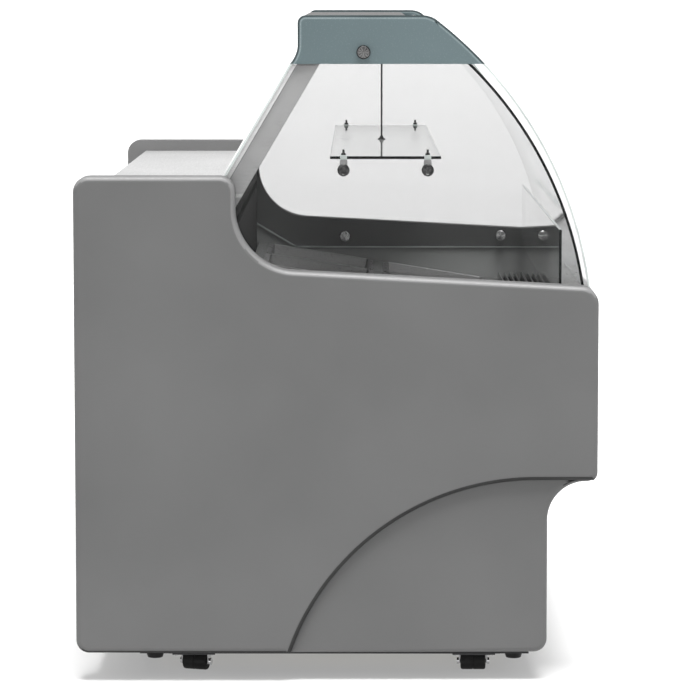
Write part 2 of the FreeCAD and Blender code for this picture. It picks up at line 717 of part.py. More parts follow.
# ---- rear air duct: a flat box with an outlet slot row along its top ----
ductRear = s.tubRear - s.tubWall
ductFront = ductRear - s.ductDeep
ductFoot = s.tubFloor + 90
ductTop = postEndZ - 7.5
ductHalf = paneX - 1
ductSheet = 2
duct = cut("duct_box",
           box("duct_outer", (-ductHalf, ductHalf), (ductFront, ductRear), (ductFoot, ductTop)),
           box("duct_inner", (ductSheet - ductHalf, ductHalf - ductSheet),
               (ductFront + ductSheet, ductRear - ductSheet), (ductFoot - 10, ductTop - ductSheet)))
slots = []
slotCount = 20
slotBridge = 8
slotPitch = (paneX * 2 - 40) / slotCount
for number in range(slotCount):
    low = slotPitch * number - paneX + 20 + slotBridge / 2
    slots.append(box("duct_slot%d" % number, (low, low + slotPitch - slotBridge),
                     (ductFront - 5, ductFront + 3), (ductTop - 40, ductTop - 20)))
keep(cut("duct", duct, *slots), "rear_air_duct")

# ---- return air grille along the front of the well ----
grilleRear = s.innerGlassY + s.glassThick + s.grilleWide
grilleHalf = innerX - s.tubWall
grilleFrame = [
    box("grille_lip", (-grilleHalf, grilleHalf), (grilleRear - 3, grilleRear),
        (s.grilleTop - 40, s.grilleTop)),
    box("grille_heel", (-grilleHalf, grilleHalf), (s.innerGlassY + s.glassThick, s.innerGlassY + s.glassThick + 3),
        (s.grilleTop - 40, s.grilleTop)),
]
barCount = 3
barPitch = (s.grilleWide - 6) / (barCount + 1)
for number in range(barCount):
    low = s.innerGlassY + s.glassThick + 3 + barPitch * (number + 1) - 2
    grilleFrame.append(box("grille_bar%d" % number, (-grilleHalf, grilleHalf), (low, low + 4),
                           (s.grilleTop - 12, s.grilleTop - 2)))
for number in range(7):
    low = grilleHalf * 2 / 6 * number - grilleHalf
    low = low - number
    grilleFrame.append(box("grille_rib%d" % number, (low, low + 6),
                           (s.innerGlassY + s.glassThick, grilleRear), (s.grilleTop - 24, s.grilleTop - 10)))
keep(fuse("grille", *grilleFrame), "front_air_grille")

# ---- inner front glass, ledge, front panel, kick panel ----
keep(box("inner_glass", (-paneX + 1, paneX - 1), (s.innerGlassY, s.innerGlassY + s.glassThick),
         (s.innerGlassFoot, s.innerGlassTop)), "inner_front_glass")
lipFoot = s.sideGlassFoot - s.slideGap
ledge = profile("ledge_sheet", [
    (frontFace, lipFoot),
    (frontFace + s.ledgeSheet, lipFoot),
    (frontFace + s.ledgeSheet, s.ledgeTop - s.ledgeSheet),
    (s.innerGlassY - s.ledgeSheet, s.ledgeTop - s.ledgeSheet),
    (s.innerGlassY - s.ledgeSheet, s.ledgeTop - 45),
    (s.innerGlassY, s.ledgeTop - 45),
    (s.innerGlassY, s.ledgeTop),
    (frontFace, s.ledgeTop),
], -paneX, paneX * 2)
keep(ledge, "front_ledge")
frontPanel = profile("front_sheet", [
    (frontFace, s.kickHeight + 4),
    (kickBack - s.ledgeSheet, s.kickHeight + 4),
    (kickBack - s.ledgeSheet, s.kickHeight + 4 + s.ledgeSheet),
    (frontFace + s.ledgeSheet, s.kickHeight + 4 + s.ledgeSheet),
    (frontFace + s.ledgeSheet, lipFoot),
    (frontFace, lipFoot),
], -innerX, innerX * 2)
roundCorners(frontPanel, "front_sheet_edge", [(frontFace, s.kickHeight + 4)], 2.5)
keep(frontPanel, "front_panel")
kickSheet = box("kick_sheet", (-innerX, innerX), (kickBack + 4, kickBack + 4 + s.sheetThick),
                (s.panelFoot + 20, s.kickHeight + 4))
kickSlots = []
for bay in (-1, 1):
    for number in range(6):
        low = 160 + 26 * number
        kickSlots.append(box("kick_slot%d_%d" % (bay, number), (bay * 420 - 200, bay * 420 + 200),
                             (kickBack, kickBack + 20), (low, low + 8)))
keep(cut("kick", kickSheet, *kickSlots), "kick_panel")

# ---- pan deck and pans, drawn level and tipped by the deck's slope ----
fall = s.deckSlope


def tipped(name, *things):
    return place(group(name, *things), y=s.deckDatumY, z=s.sideGlassFoot, axis=V(1, 0, 0), angle=fall)


deckHalf = innerX - s.tubWall - 0.2
deckSheet = box("deck_sheet", (-deckHalf, deckHalf), (-s.deckFront, s.deckRear), (-s.deckThick, 0))
rearRow = s.deckRear - s.deckBorder - s.panWide / 2
rows = (("rear", rearRow), ("front", rearRow - s.panWide - s.deckBorder))
columnCount = int(paneX.value * 2 // (s.panLong.value + s.panSpare.value))
panPitch = paneX * 2 / columnCount
columns = range(columnCount)
leftCount = (columnCount + 1) // 2
bodyLong = s.panLong - s.panRim * 2
bodyWide = s.panWide - s.panRim * 2


def centred(middle, width):
    return (middle - width / 2, middle + width / 2)


def columnX(column):
    return panPitch * (column - (columnCount - 1) / 2)


deckHoles = []
for word, middle in rows:
    for column in columns:
        deckHoles.append(box("deck_hole_%s%d" % (word, column),
                             centred(columnX(column), bodyLong + s.panGap * 2),
                             centred(middle, bodyWide + s.panGap * 2), (-20, 20)))
keep(tipped("deck", cut("deck_plate", deckSheet, *deckHoles)), "pan_deck")
for word, middle in rows:
    for side, span in (("left", columns[:leftCount]), ("right", columns[leftCount:])):
        pans = []
        for column in span:
            tag = "%s%d" % (word, column)
            rim = box("pan_rim_" + tag, centred(columnX(column), s.panLong),
                      centred(middle, s.panWide), (0, s.panWall))
            shell = box("pan_body_" + tag, centred(columnX(column), bodyLong),
                        centred(middle, bodyWide), (-s.panDeep, s.panWall))
            hollow = box("pan_hollow_" + tag, centred(columnX(column), bodyLong - s.panWall * 2),
                         centred(middle, bodyWide - s.panWall * 2), (s.panWall - s.panDeep, 20))
            pans.append(cut("pan_" + tag, fuse("pan_solid_" + tag, rim, shell), hollow))
        keep(tipped("pans_%s_%s_set" % (word, side), *pans), "pans_%s_%s" % (word, side))

# ---- rear panel with louvre slots ----
rearSheet = box("rear_sheet", (-innerX, innerX), (rearFace - s.sheetThick, rearFace),
                (s.panelFoot + 30, worktopFoot))
louvres = []
for bay in (-1, 1):
    for number in range(9):
        low = 140 + 28 * number
        louvres.append(box("louvre%d_%d" % (bay, number), (bay * 380 - 190, bay * 380 + 190),
                           (rearFace - 20, rearFace + 20), (low, low + 9)))
keep(cut("rear", rearSheet, *louvres), "rear_panel")

# ---- control panel: two rocker switches and one button on the rear panel ----
controlX = -540
controlZ = 925
controlOut = 12
controlTop = rearFace + controlOut
housing = box("control_box", (controlX - 150, controlX + 150), (rearFace, controlTop),
              (controlZ - 38, controlZ + 38))
rockerSpots = (("power_switch", controlX - 115), ("light_switch", controlX - 80))
rockerTall = 20
rockerWide = 12
rockerGap = 1.5
rockerLean = 7
pockets = []
for word, x in rockerSpots:
    pockets.append(box(word + "_hole", (x - rockerWide / 2 - rockerGap / 2, x + rockerWide / 2 + rockerGap / 2),
                       (rearFace + 2, controlTop + 5),
                       (controlZ - rockerTall / 2 - rockerGap, controlZ + rockerTall / 2 + rockerGap)))
    rocker = box(word + "_body", (x - rockerWide / 2, x + rockerWide / 2), (-2.5, 4.5),
                 (-rockerTall / 2, rockerTall / 2))
    keep(place(group(word + "_turned", rocker), y=controlTop - 3, z=controlZ, axis=V(1, 0, 0),
               angle=rockerLean), word)
buttonX = controlX + 110
buttonRadius = 5
pockets.append(rod("button_hole", "y", (buttonX, rearFace + 3, controlZ), buttonRadius + 0.3, 20))
keep(cut("control", housing, *pockets), "control_panel")
keep(rod("button", "y", (buttonX, rearFace + 5.5, controlZ), buttonRadius, controlOut - 3.5),
     "defrost_button")

# ---- power inlet on the rear panel ----
inletX = 700
inletZ = 180
keep(fuse("inlet", rod("inlet_flange", "y", (inletX, rearFace, inletZ), 16, 4),
          rod("inlet_nose", "y", (inletX, rearFace, inletZ), 11, 18)), "power_inlet")

# ---- base frame ----
railTop = railFoot + s.railTall
railEnd = footX + s.railWide / 2 + 8
tabFoot = railFoot + s.railTall / 4
rails = []
for word, middle in (("front", s.footY), ("rear", s.footRearY)):
    across = centred(middle, s.railWide)
    rails.append(box("rail_" + word, (-railEnd, railEnd), across, (railFoot, railTop)))
    rails.append(box("rail_tabs_" + word, (-innerX, innerX), across, (tabFoot, railTop)))
barEnds = (s.footY + s.railWide / 2, s.footRearY - s.railWide / 2)
barSpots = (("left", -casterX, 100), ("midleft", -250, 50), ("midright", s.compressorX - 130, 50),
            ("midfar", s.compressorX + 130, 50), ("right", casterX, 100))
for word, middle, width in barSpots:
    rails.append(box("bar_" + word, centred(asSize(middle), width), barEnds, (railFoot, railTop)))
feet = [(x, y) for x in (-1, 1) for y in (s.footY, s.footRearY)]
stemHoles = [rod("stem_hole%d" % number, "z", (footX * x, y, railFoot - 5),
                 s.stemRadius + s.runningGap, s.railTall + 10)
             for number, (x, y) in enumerate(feet)]
keep(cut("base", fuse("base_bars", *rails), *stemHoles), "base_frame")

# ---- levelling feet ----
footNames = ("front_left", "rear_left", "front_right", "rear_right")
for word, (x, y) in zip(footNames, feet):
    padFoot = railFoot - s.slideGap - s.footPad
    pad = cone("foot_pad_" + word, (footX * x, y, padFoot), s.footRadius - 4, s.footRadius, s.footPad)
    stem = rod("foot_stem_" + word, "z", (footX * x, y, padFoot + s.footPad / 2), s.stemRadius,
               s.footPad / 2 + s.railTall)
    keep(fuse("foot_" + word, pad, stem), "levelling_foot_" + word)

# ---- casters: fixed plates, swivelling forks, wheels ----
casters = (("front_left", -casterX, s.casterFrontY, 90), ("rear_left", -casterX, s.casterRearY, 72),
           ("front_right", casterX, s.casterFrontY, 65), ("rear_right", casterX, s.casterRearY, 118))
plateFoot = railFoot - s.casterSheet
kingRadius = 6
legThick = 3
bossLong = 4
plates = []
for word, x, y, angle in casters:
    plates.append(cut("caster_plate_" + word,
                      box("caster_sheet_" + word, centred(x, s.casterPlate), centred(y, s.casterPlate),
                          (plateFoot, railFoot)),
                      rod("king_hole_" + word, "z", (x, y, plateFoot - 5),
                          kingRadius + s.runningGap, 20)))
keep(group("plates", *plates), "caster_plates")
crownTop = plateFoot - s.crownGap
for word, x, y, angle in casters:
    legIn = s.wheelWide / 2 + s.wheelGap
    legOut = legIn + legThick
    trail = -s.casterTrail
    pieces = [
        box("crown_" + word, (-legOut, legOut), (trail - 14, 18), (crownTop - s.crownThick, crownTop)),
        rod("king_" + word, "z", (0, 0, crownTop - 1), kingRadius, s.crownGap + s.casterSheet),
        rod("axle_" + word, "x", (-legOut - bossLong, trail, s.wheelRadius), s.axleRadius,
            (legOut + bossLong) * 2),
    ]
    for side, low in ((-1, -legOut), (1, legIn)):
        pieces.append(box("leg%d_%s" % (side, word), (low, low + legThick), (trail - 9, trail + 9),
                          (s.wheelRadius - 4, crownTop - 0.5)))
        boss = -legOut - bossLong if side < 0 else legOut
        pieces.append(rod("boss%d_%s" % (side, word), "x", (boss, trail, s.wheelRadius), 7, bossLong))
    fork = place(group("fork_set_" + word, fuse("fork_" + word, *pieces)), x=x, y=y, angle=angle)
    keep(fork, "caster_fork_" + word)
    tyre = cut("tyre_" + word,
               rod("tyre_solid_" + word, "x", (-s.wheelWide / 2, trail, s.wheelRadius), s.wheelRadius,
                   s.wheelWide),
               rod("tyre_bore_" + word, "x", (-s.wheelWide / 2 - 5, trail, s.wheelRadius),
                   s.axleRadius + s.runningGap, s.wheelWide + 10))
    keep(place(group("wheel_set_" + word, tyre), x=x, y=y, angle=angle), "caster_wheel_" + word)

# ---- compressor on its plate ----
canTop = 290
can = rod("compressor_can", "z", (s.compressorX, s.compressorY, railTop + 14), s.compressorRadius,
          canTop - railTop - 34)
dome = cone("compressor_dome", (s.compressorX, s.compressorY, canTop - 20), s.compressorRadius,
            s.compressorRadius - 22, 20)
footPlate = box("compressor_plate", centred(s.compressorX, 300), centred(s.compressorY, 220),
                (railTop, railTop + 14))
keep(fuse("compressor_set", can, dome, footPlate), "compressor")

# ---- condenser coil and the two fans ----
coilX = (200, 600)
coilY = (s.footRearY - 20, s.footRearY + 20)
coilTop = 380
keep(box("condenser", coilX, coilY, (railTop, coilTop)), "condenser_coil")
fanX = 380
fanZ = (coilTop + railTop) / 2
shroudY = coilY[0] - 30
shroud = cut("shroud_plate",
             box("shroud_sheet", (coilX[0], coilX[1] - 40), (shroudY, shroudY + 4), (railTop, coilTop)),
             rod("shroud_hole", "y", (fanX, shroudY - 5, fanZ), s.fanRadius + 6, 20))
motorY = shroudY - 70
motor = rod("fan_motor_can", "y", (fanX, motorY, fanZ), 36, 44)
shaft = rod("fan_motor_shaft", "y", (fanX, motorY + 40, fanZ), s.shaftRadius, 38)
arms = [box("motor_arm0", (fanX - 150, fanX + 150), (motorY + 10, motorY + 16), (fanZ - 8, fanZ + 8))]
for number, x in enumerate((fanX - 150, fanX + 134)):
    arms.append(box("motor_stay%d" % number, (x, x + 16), (motorY + 10, shroudY), (fanZ - 8, fanZ + 8)))
condenserMotor = fuse("condenser_motor", shroud, motor, shaft, *arms)


def fan(name, radius, boreRadius, depth):
    # A hub with four pitched blades, drawn with its shaft along Z.
    hubRadius = 26
    bladeRoot = 18
    bladeWide = 32
    pieces = [rod(name + "_hub", "z", (0, 0, 0), hubRadius, depth)]
    pitch = FreeCAD.Placement(V(0, 0, depth / 2), FreeCAD.Rotation(V(1, 0, 0), 22))
    for number in range(4):
        blade = box("%s_blade%d" % (name, number), (bladeRoot, radius), (0, bladeWide), (0, 2))
        spin = FreeCAD.Placement(V(0, 0, 0), FreeCAD.Rotation(V(0, 0, 1), number * 90))
        blade.Placement = spin.multiply(pitch).multiply(
            FreeCAD.Placement(V(bladeRoot, -bladeWide / 2, -1), FreeCAD.Rotation()))
        pieces.append(blade)
    bore = rod(name + "_bore", "z", (0, 0, -5), boreRadius, depth + 10)
    return cut(name, fuse(name + "_solid", *pieces), bore)


fanDeep = 18
rotor = fan("condenser_rotor", s.fanRadius, s.shaftRadius + s.runningGap, fanDeep)
keep(place(group("condenser_rotor_set", rotor), x=fanX, y=motorY + 52, z=fanZ, axis=V(1, 0, 0), angle=-90),
     "condenser_fan")

# ---- evaporator coil on the well floor, with a lying fan ----
wellFloor = s.tubFloor + s.tubWall
coolX = (-620, 300)
coolY = (-300, 180)
coolTop = wellFloor + 62
keep(box("evaporator", coolX, coolY, (wellFloor, coolTop)), "evaporator_coil")
coolFanX = 520
coolFanY = -60
coolMotorTop = wellFloor + 26
coolMotor = fuse("cool_motor",
                 box("cool_motor_plate", centred(coolFanX, 180), centred(coolFanY, 180),
                     (wellFloor, wellFloor + 3)),
                 rod("cool_motor_can", "z", (coolFanX, coolFanY, wellFloor), 26, 26),
                 rod("cool_motor_shaft", "z", (coolFanX, coolFanY, wellFloor + 20), s.shaftRadius, 28))
keep(group("motors", condenserMotor, coolMotor), "fan_motors")
coolRotor = fan("cool_rotor", s.coolFanRadius, s.shaftRadius + s.runningGap, fanDeep)
keep(place(group("cool_rotor_set", coolRotor), x=coolFanX, y=coolFanY, z=coolMotorTop + 4),
     "evaporator_fan")

# ---- refrigerant pipes ----
bendRadius = 30
entryZ = 200


def elbowPipe(name, first, corner, last):
    # Two straight legs along the axes, joined by a quarter bend at the corner.
    pieces = []
    legs = []
    for end in (first, last):
        delta = [end[number] - corner[number] for number in range(3)]
        axis = max(range(3), key=lambda number: abs(asSize(delta[number]).value))
        sign = 1 if asSize(delta[axis]).value > 0 else -1
        legs.append((axis, sign))
        begin = list(corner)
        begin[axis] = corner[axis] + bendRadius * sign
        reach = (end[axis] - corner[axis]) * sign - bendRadius
        low = list(begin)
        if sign < 0:
            low[axis] = end[axis]
        pieces.append(rod("%s_leg%d" % (name, len(pieces)), "xyz"[axis], low, s.pipeRadius, reach))
    bend = doc.addObject("Part::Torus", name + "_bend")
    bend.Radius1 = bendRadius
    setSize(bend, "Radius2", s.pipeRadius)
    bend.Angle3 = 90
    centre = [corner[number] for number in range(3)]
    for axis, sign in legs:
        centre[axis] = centre[axis] + bendRadius * sign
    # The quarter ring runs from its own +X towards its own +Y, which point back at the legs.
    across = V(0, 0, 0)
    up = V(0, 0, 0)
    across[legs[0][0]] = -legs[0][1]
    up[legs[1][0]] = -legs[1][1]
    matrix = FreeCAD.Matrix(across.x, up.x, across.cross(up).x, 0,
                            across.y, up.y, across.cross(up).y, 0,
                            across.z, up.z, across.cross(up).z, 0, 0, 0, 0, 1)
    bend.Placement = FreeCAD.Placement(matrix)
    for letter, number in zip("xyz", centre):
        number = asSize(number)
        setattr(bend.Placement.Base, letter, number.value)
        bend.setExpression("Placement.Base." + letter, number.text)
    pieces.append(bend)
    return fuse(name, *pieces)


suction = elbowPipe("suction_pipe", (pipeX, s.compressorY, wellFloor),
                    (pipeX, s.compressorY, asSize(entryZ)),
                    (s.compressorX - s.compressorRadius + 1, s.compressorY, asSize(entryZ)))
dischargeX = asSize(coilX[1] - 22)
discharge = elbowPipe("discharge_pipe",
                      (s.compressorX + s.compressorRadius - 1, s.compressorY, asSize(entryZ + 30)),
                      (dischargeX, s.compressorY, asSize(entryZ + 30)),
                      (dischargeX, coilY[0], asSize(entryZ + 30)))
keep(group("pipes", cut("suction", suction, can), cut("discharge", discharge, can)), "refrigerant_pipes")

# ---- drain ----
drainFoot = 100
drainTube = cut("drain_tube",
                fuse("drain_solid",
                     rod("drain_outer", "z", (s.drainX, s.drainY, drainFoot), s.drainRadius,
                         wellFloor - drainFoot),
                     rod("drain_lip", "z", (s.drainX, s.drainY, wellFloor), s.drainRadius + 6, 1.5)),
                rod("drain_bore", "z", (s.drainX, s.drainY, drainFoot - 5), s.drainRadius - 2, 500))
keep(drainTube, "drain_pipe")

# ---- check and write ----
doc.recompute()
for thing in doc.Objects:
    if "Invalid" in thing.State or "Error" in thing.State:
        raise SystemExit("failed object: %s %s %s" % (thing.Label, thing.State, thing.getStatusString()))
os.makedirs("parts", exist_ok=True)
for thing in nodes:
    shape = thing.Shape
    if shape.isNull() or not shape.isValid() or not shape.Solids:
        raise SystemExit("bad shape: " + thing.Label)
    shape.exportStep("parts/%s.step" % thing.Label)
print("%d nodes written" % len(nodes))
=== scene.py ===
# Ice cream dipping cabinet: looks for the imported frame. Metres; sizes in the dictionaries are millimetres.
import json
import math
import bpy
import bmesh
from mathutils import Matrix, Vector


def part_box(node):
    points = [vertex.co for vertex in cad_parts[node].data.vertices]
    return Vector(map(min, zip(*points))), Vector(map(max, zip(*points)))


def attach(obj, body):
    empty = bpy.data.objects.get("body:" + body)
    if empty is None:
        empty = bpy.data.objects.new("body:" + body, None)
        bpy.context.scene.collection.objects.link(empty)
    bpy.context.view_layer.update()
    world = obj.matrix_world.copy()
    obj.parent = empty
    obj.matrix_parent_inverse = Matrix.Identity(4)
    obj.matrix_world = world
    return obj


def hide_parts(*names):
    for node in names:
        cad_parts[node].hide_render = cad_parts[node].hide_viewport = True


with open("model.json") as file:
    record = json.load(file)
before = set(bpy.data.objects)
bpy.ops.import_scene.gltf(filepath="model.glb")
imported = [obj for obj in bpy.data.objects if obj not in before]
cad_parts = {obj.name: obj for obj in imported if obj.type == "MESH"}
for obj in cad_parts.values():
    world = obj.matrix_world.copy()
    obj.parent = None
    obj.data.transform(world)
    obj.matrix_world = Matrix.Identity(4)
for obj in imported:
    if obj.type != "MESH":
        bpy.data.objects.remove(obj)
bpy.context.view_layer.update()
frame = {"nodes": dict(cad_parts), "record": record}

mm = 0.001
same = 1e-5    # metres: places nearer than this are one place
merged = 1e-6  # metres: points nearer than this are joined
slotOf = {row["node"]: row["material_slot"] for row in frame["record"]["subparts"]}
bodyNodes = frame["record"]["behaviour"]["bodies"]


# Mesh helpers.
def vertsIn(geom):
    return [part for part in geom if isinstance(part, bmesh.types.BMVert)]


def allOf(bm):
    return list(bm.verts) + list(bm.edges) + list(bm.faces)


def bevelEdges(bm, edges, width, segments=3, clamp=True):
    return bmesh.ops.bevel(bm, geom=list(edges), offset=width, offset_type="OFFSET", segments=segments,
                           profile=0.5, affect="EDGES", clamp_overlap=clamp, material=-1)


def roundCorners(bm, corners, width, segments):
    bmesh.ops.bevel(bm, geom=corners, offset=width, offset_type="OFFSET", segments=segments, profile=0.5,
                    affect="VERTICES", clamp_overlap=True, material=-1)


def cutAcross(bm, axis, place):
    # Adds an edge loop where a plane square to an axis crosses the mesh.
    normal = Vector((0, 0, 0))
    normal["XYZ".index(axis)] = 1
    bmesh.ops.bisect_plane(bm, geom=allOf(bm), plane_co=normal * place, plane_no=normal)


def thickenX(bm, reach):
    # Extrudes the flat outline along X into a solid.
    made = bmesh.ops.extrude_face_region(bm, geom=list(bm.faces))["geom"]
    bmesh.ops.translate(bm, vec=(reach, 0, 0), verts=vertsIn(made))
    bmesh.ops.recalc_face_normals(bm, faces=bm.faces)


def sweepPoint(bm, vert, centre, direction, angle, steps):
    # Draws an arc from a point, round a (y, z) centre in millimetres; returns its last point.
    y, z = centre
    swept = bmesh.ops.spin(bm, geom=[vert], cent=(0, y * mm, z * mm), axis=(direction, 0, 0), angle=angle,
                           steps=steps)
    return vertsIn(swept["geom_last"])[0]


def addBlock(bm, low, high, rounding=0.0, segments=2, material=0):
    # A block between two corners, with its edges rounded; returns its vertices.
    low = Vector(low)
    high = Vector(high)
    made = bmesh.ops.create_cube(bm, size=1.0)["verts"]
    bmesh.ops.scale(bm, vec=high - low, verts=made)
    bmesh.ops.translate(bm, vec=(low + high) / 2, verts=made)
    for face in {face for vert in made for face in vert.link_faces}:
        face.material_index = material
    if rounding:
        edges = {edge for vert in made for edge in vert.link_edges}
        out = bevelEdges(bm, edges, rounding, segments)
        made = list({vert for face in out["faces"] for vert in face.verts})
    return made


def addTurned(bm, spots, steps=32, material=0):
    # A turned shape: (radius, height) spots in millimetres spun about Z; returns its vertices.
    before = set(bm.verts)
    verts = [bm.verts.new((radius * mm, 0, height * mm)) for radius, height in spots]
    edges = [bm.edges.new(pair) for pair in zip(verts, verts[1:])]
    bmesh.ops.spin(bm, geom=verts + edges, cent=(0, 0, 0), axis=(0, 0, 1), angle=math.tau, steps=steps,
                   use_merge=True)
    made = [vert for vert in bm.verts if vert not in before]
    bmesh.ops.remove_doubles(bm, verts=made, dist=merged)
    made = [vert for vert in bm.verts if vert not in before]
    for face in {face for vert in made for face in vert.link_faces}:
        face.material_index = material
    return made


def moveTo(bm, verts, spot, toward="Z", turn=0.0):
    # Turns a shape drawn along +Z to face an axis, then puts it in place.
    tilt = {"X": Matrix.Rotation(math.pi / 2, 3, "Y"), "-X": Matrix.Rotation(-math.pi / 2, 3, "Y"),
            "Y": Matrix.Rotation(-math.pi / 2, 3, "X"), "Z": Matrix.Identity(3),
            "-Z": Matrix.Rotation(math.pi, 3, "X")}[toward]
    bmesh.ops.rotate(bm, verts=verts, cent=(0, 0, 0), matrix=Matrix.Rotation(turn, 3, "Z") @ tilt)
    bmesh.ops.translate(bm, verts=verts, vec=spot)


def extrudeOutline(corners, low, high):
    # A slab between two places along X, from (y, z, rounding) corners in millimetres.
    bm = bmesh.new()
    bm.faces.new([bm.verts.new((low, y * mm, z * mm)) for y, z, rounding in corners])
    thickenX(bm, high - low)
    for y, z, rounding in corners:
        corner = Vector((y * mm, z * mm))
        edges = [e for e in bm.edges if all((v.co.yz - corner).length < same for v in e.verts)]
        reach = rounding * mm * math.tan(edges[0].calc_face_angle() / 2)
        bevelEdges(bm, edges, reach, 6 + int(rounding / 8))
    return bm


def mirrorX(bm):
    # Adds the mirror image across the middle plane.
    bmesh.ops.mirror(bm, geom=allOf(bm), axis="X", merge_dist=1e-7)


def makeObject(name, bm):
    mesh = bpy.data.meshes.new(name)
    bm.to_mesh(mesh)
    bm.free()
    thing = bpy.data.objects.new(name, mesh)
    bpy.context.scene.collection.objects.link(thing)
    return thing


def bodyOf(node):
    return [body for body, names in bodyNodes.items() if node in names][0]


def finishPiece(name, bm, skins, node, smoothAngle=32):
    # Makes the object at the origin, smooths it, and puts it in its CAD node's place.
    bmesh.ops.recalc_face_normals(bm, faces=bm.faces)
    piece = makeObject(name, bm)
    for skin in skins:
        piece.data.materials.append(finishes[skin])
    piece.data.shade_smooth()
    piece.data.set_sharp_from_angle(angle=math.radians(smoothAngle))
    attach(piece, bodyOf(node))
    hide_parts(node)
    return piece


def softenedMesh(node, width, segments=2):
    # A merged copy of a CAD node with its sharp edges rounded.
    flatAngle = math.radians(0.4)
    sharpAngle = math.radians(28)
    bm = bmesh.new()
    bm.from_mesh(frame["nodes"][node].data)
    bmesh.ops.remove_doubles(bm, verts=bm.verts, dist=merged)
    bmesh.ops.dissolve_limit(bm, angle_limit=flatAngle, verts=bm.verts, edges=bm.edges)
    sharp = [edge for edge in bm.edges if edge.is_manifold and edge.calc_face_angle() > sharpAngle]
    bevelEdges(bm, sharp, width * mm, segments)
    for face in bm.faces:
        face.material_index = 0
    return bm


# Finishes.
def newFinish(name, **settings):
    material = bpy.data.materials.new(name)
    material.use_nodes = True
    shader = material.node_tree.nodes["Principled BSDF"]
    for socket, value in settings.items():
        shader.inputs[socket.replace("_", " ")].default_value = value
    return material, material.node_tree, shader


def addNode(tree, kind, **settings):
    node = tree.nodes.new("ShaderNode" + kind)
    for name, value in settings.items():
        if name in node.bl_rna.properties:
            setattr(node, name, value)
        else:
            node.inputs[name.replace("_", " ")].default_value = value
    return node


def pattern(tree, stretch, scale, detail):
    # A noise on object coordinates, stretched along the axes; returns its strength.
    where = addNode(tree, "TexCoord")
    mapping = addNode(tree, "Mapping", Scale=stretch)
    texture = addNode(tree, "TexNoise", Scale=scale, Detail=detail)
    tree.links.new(where.outputs["Object"], mapping.inputs["Vector"])
    tree.links.new(mapping.outputs["Vector"], texture.inputs["Vector"])
    return texture.outputs["Fac"]


def between(tree, strength, low, high, start=0.35, stop=0.65):
    # Spreads a pattern's strength between two values.
    spread = addNode(tree, "MapRange", From_Min=start, From_Max=stop, To_Min=low, To_Max=high)
    tree.links.new(strength, spread.inputs["Value"])
    return spread.outputs["Result"]


def twoTone(tree, strength, first, second, start=0.3, stop=0.7):
    # Blends two colours by a pattern; a colour given as one number is a grey.
    ramp = addNode(tree, "ValToRGB")
    for element, place, tone in zip(ramp.color_ramp.elements, (start, stop), (first, second)):
        element.position = place
        element.color = (*(tone if isinstance(tone, tuple) else (tone,) * 3), 1)
    tree.links.new(strength, ramp.inputs["Fac"])
    return ramp.outputs["Color"]


def addBump(tree, shader, strength, height, distance):
    bump = addNode(tree, "Bump", Strength=strength, Distance=distance)
    tree.links.new(height, bump.inputs["Height"])
    if shader.inputs["Normal"].is_linked:
        tree.links.new(shader.inputs["Normal"].links[0].from_socket, bump.inputs["Normal"])
    tree.links.new(bump.outputs["Normal"], shader.inputs["Normal"])


def layeredFinish(name, look):
    # Broad colour drift, fine grain in the gloss, and two scales of relief (depths in metres).
    grainDeep = 0.0004
    broadDeep = 0.002
    material, tree, shader = newFinish(name, Metallic=look.get("metal", 0.0), **look.get("sockets", {}))
    broad = pattern(tree, look.get("broadStretch", (1, 1, 1)), look["broad"], 3.0)
    grain = pattern(tree, look.get("stretch", (1, 1, 1)), look["grain"], 6.0)
    tree.links.new(twoTone(tree, broad, look["dark"], look["light"]), shader.inputs["Base Color"])
    tree.links.new(between(tree, grain, *look["gloss"]), shader.inputs["Roughness"])
    addBump(tree, shader, look["relief"], grain, look.get("reliefDeep", grainDeep))
    addBump(tree, shader, look["relief"] * 0.5, broad, broadDeep)
    return material


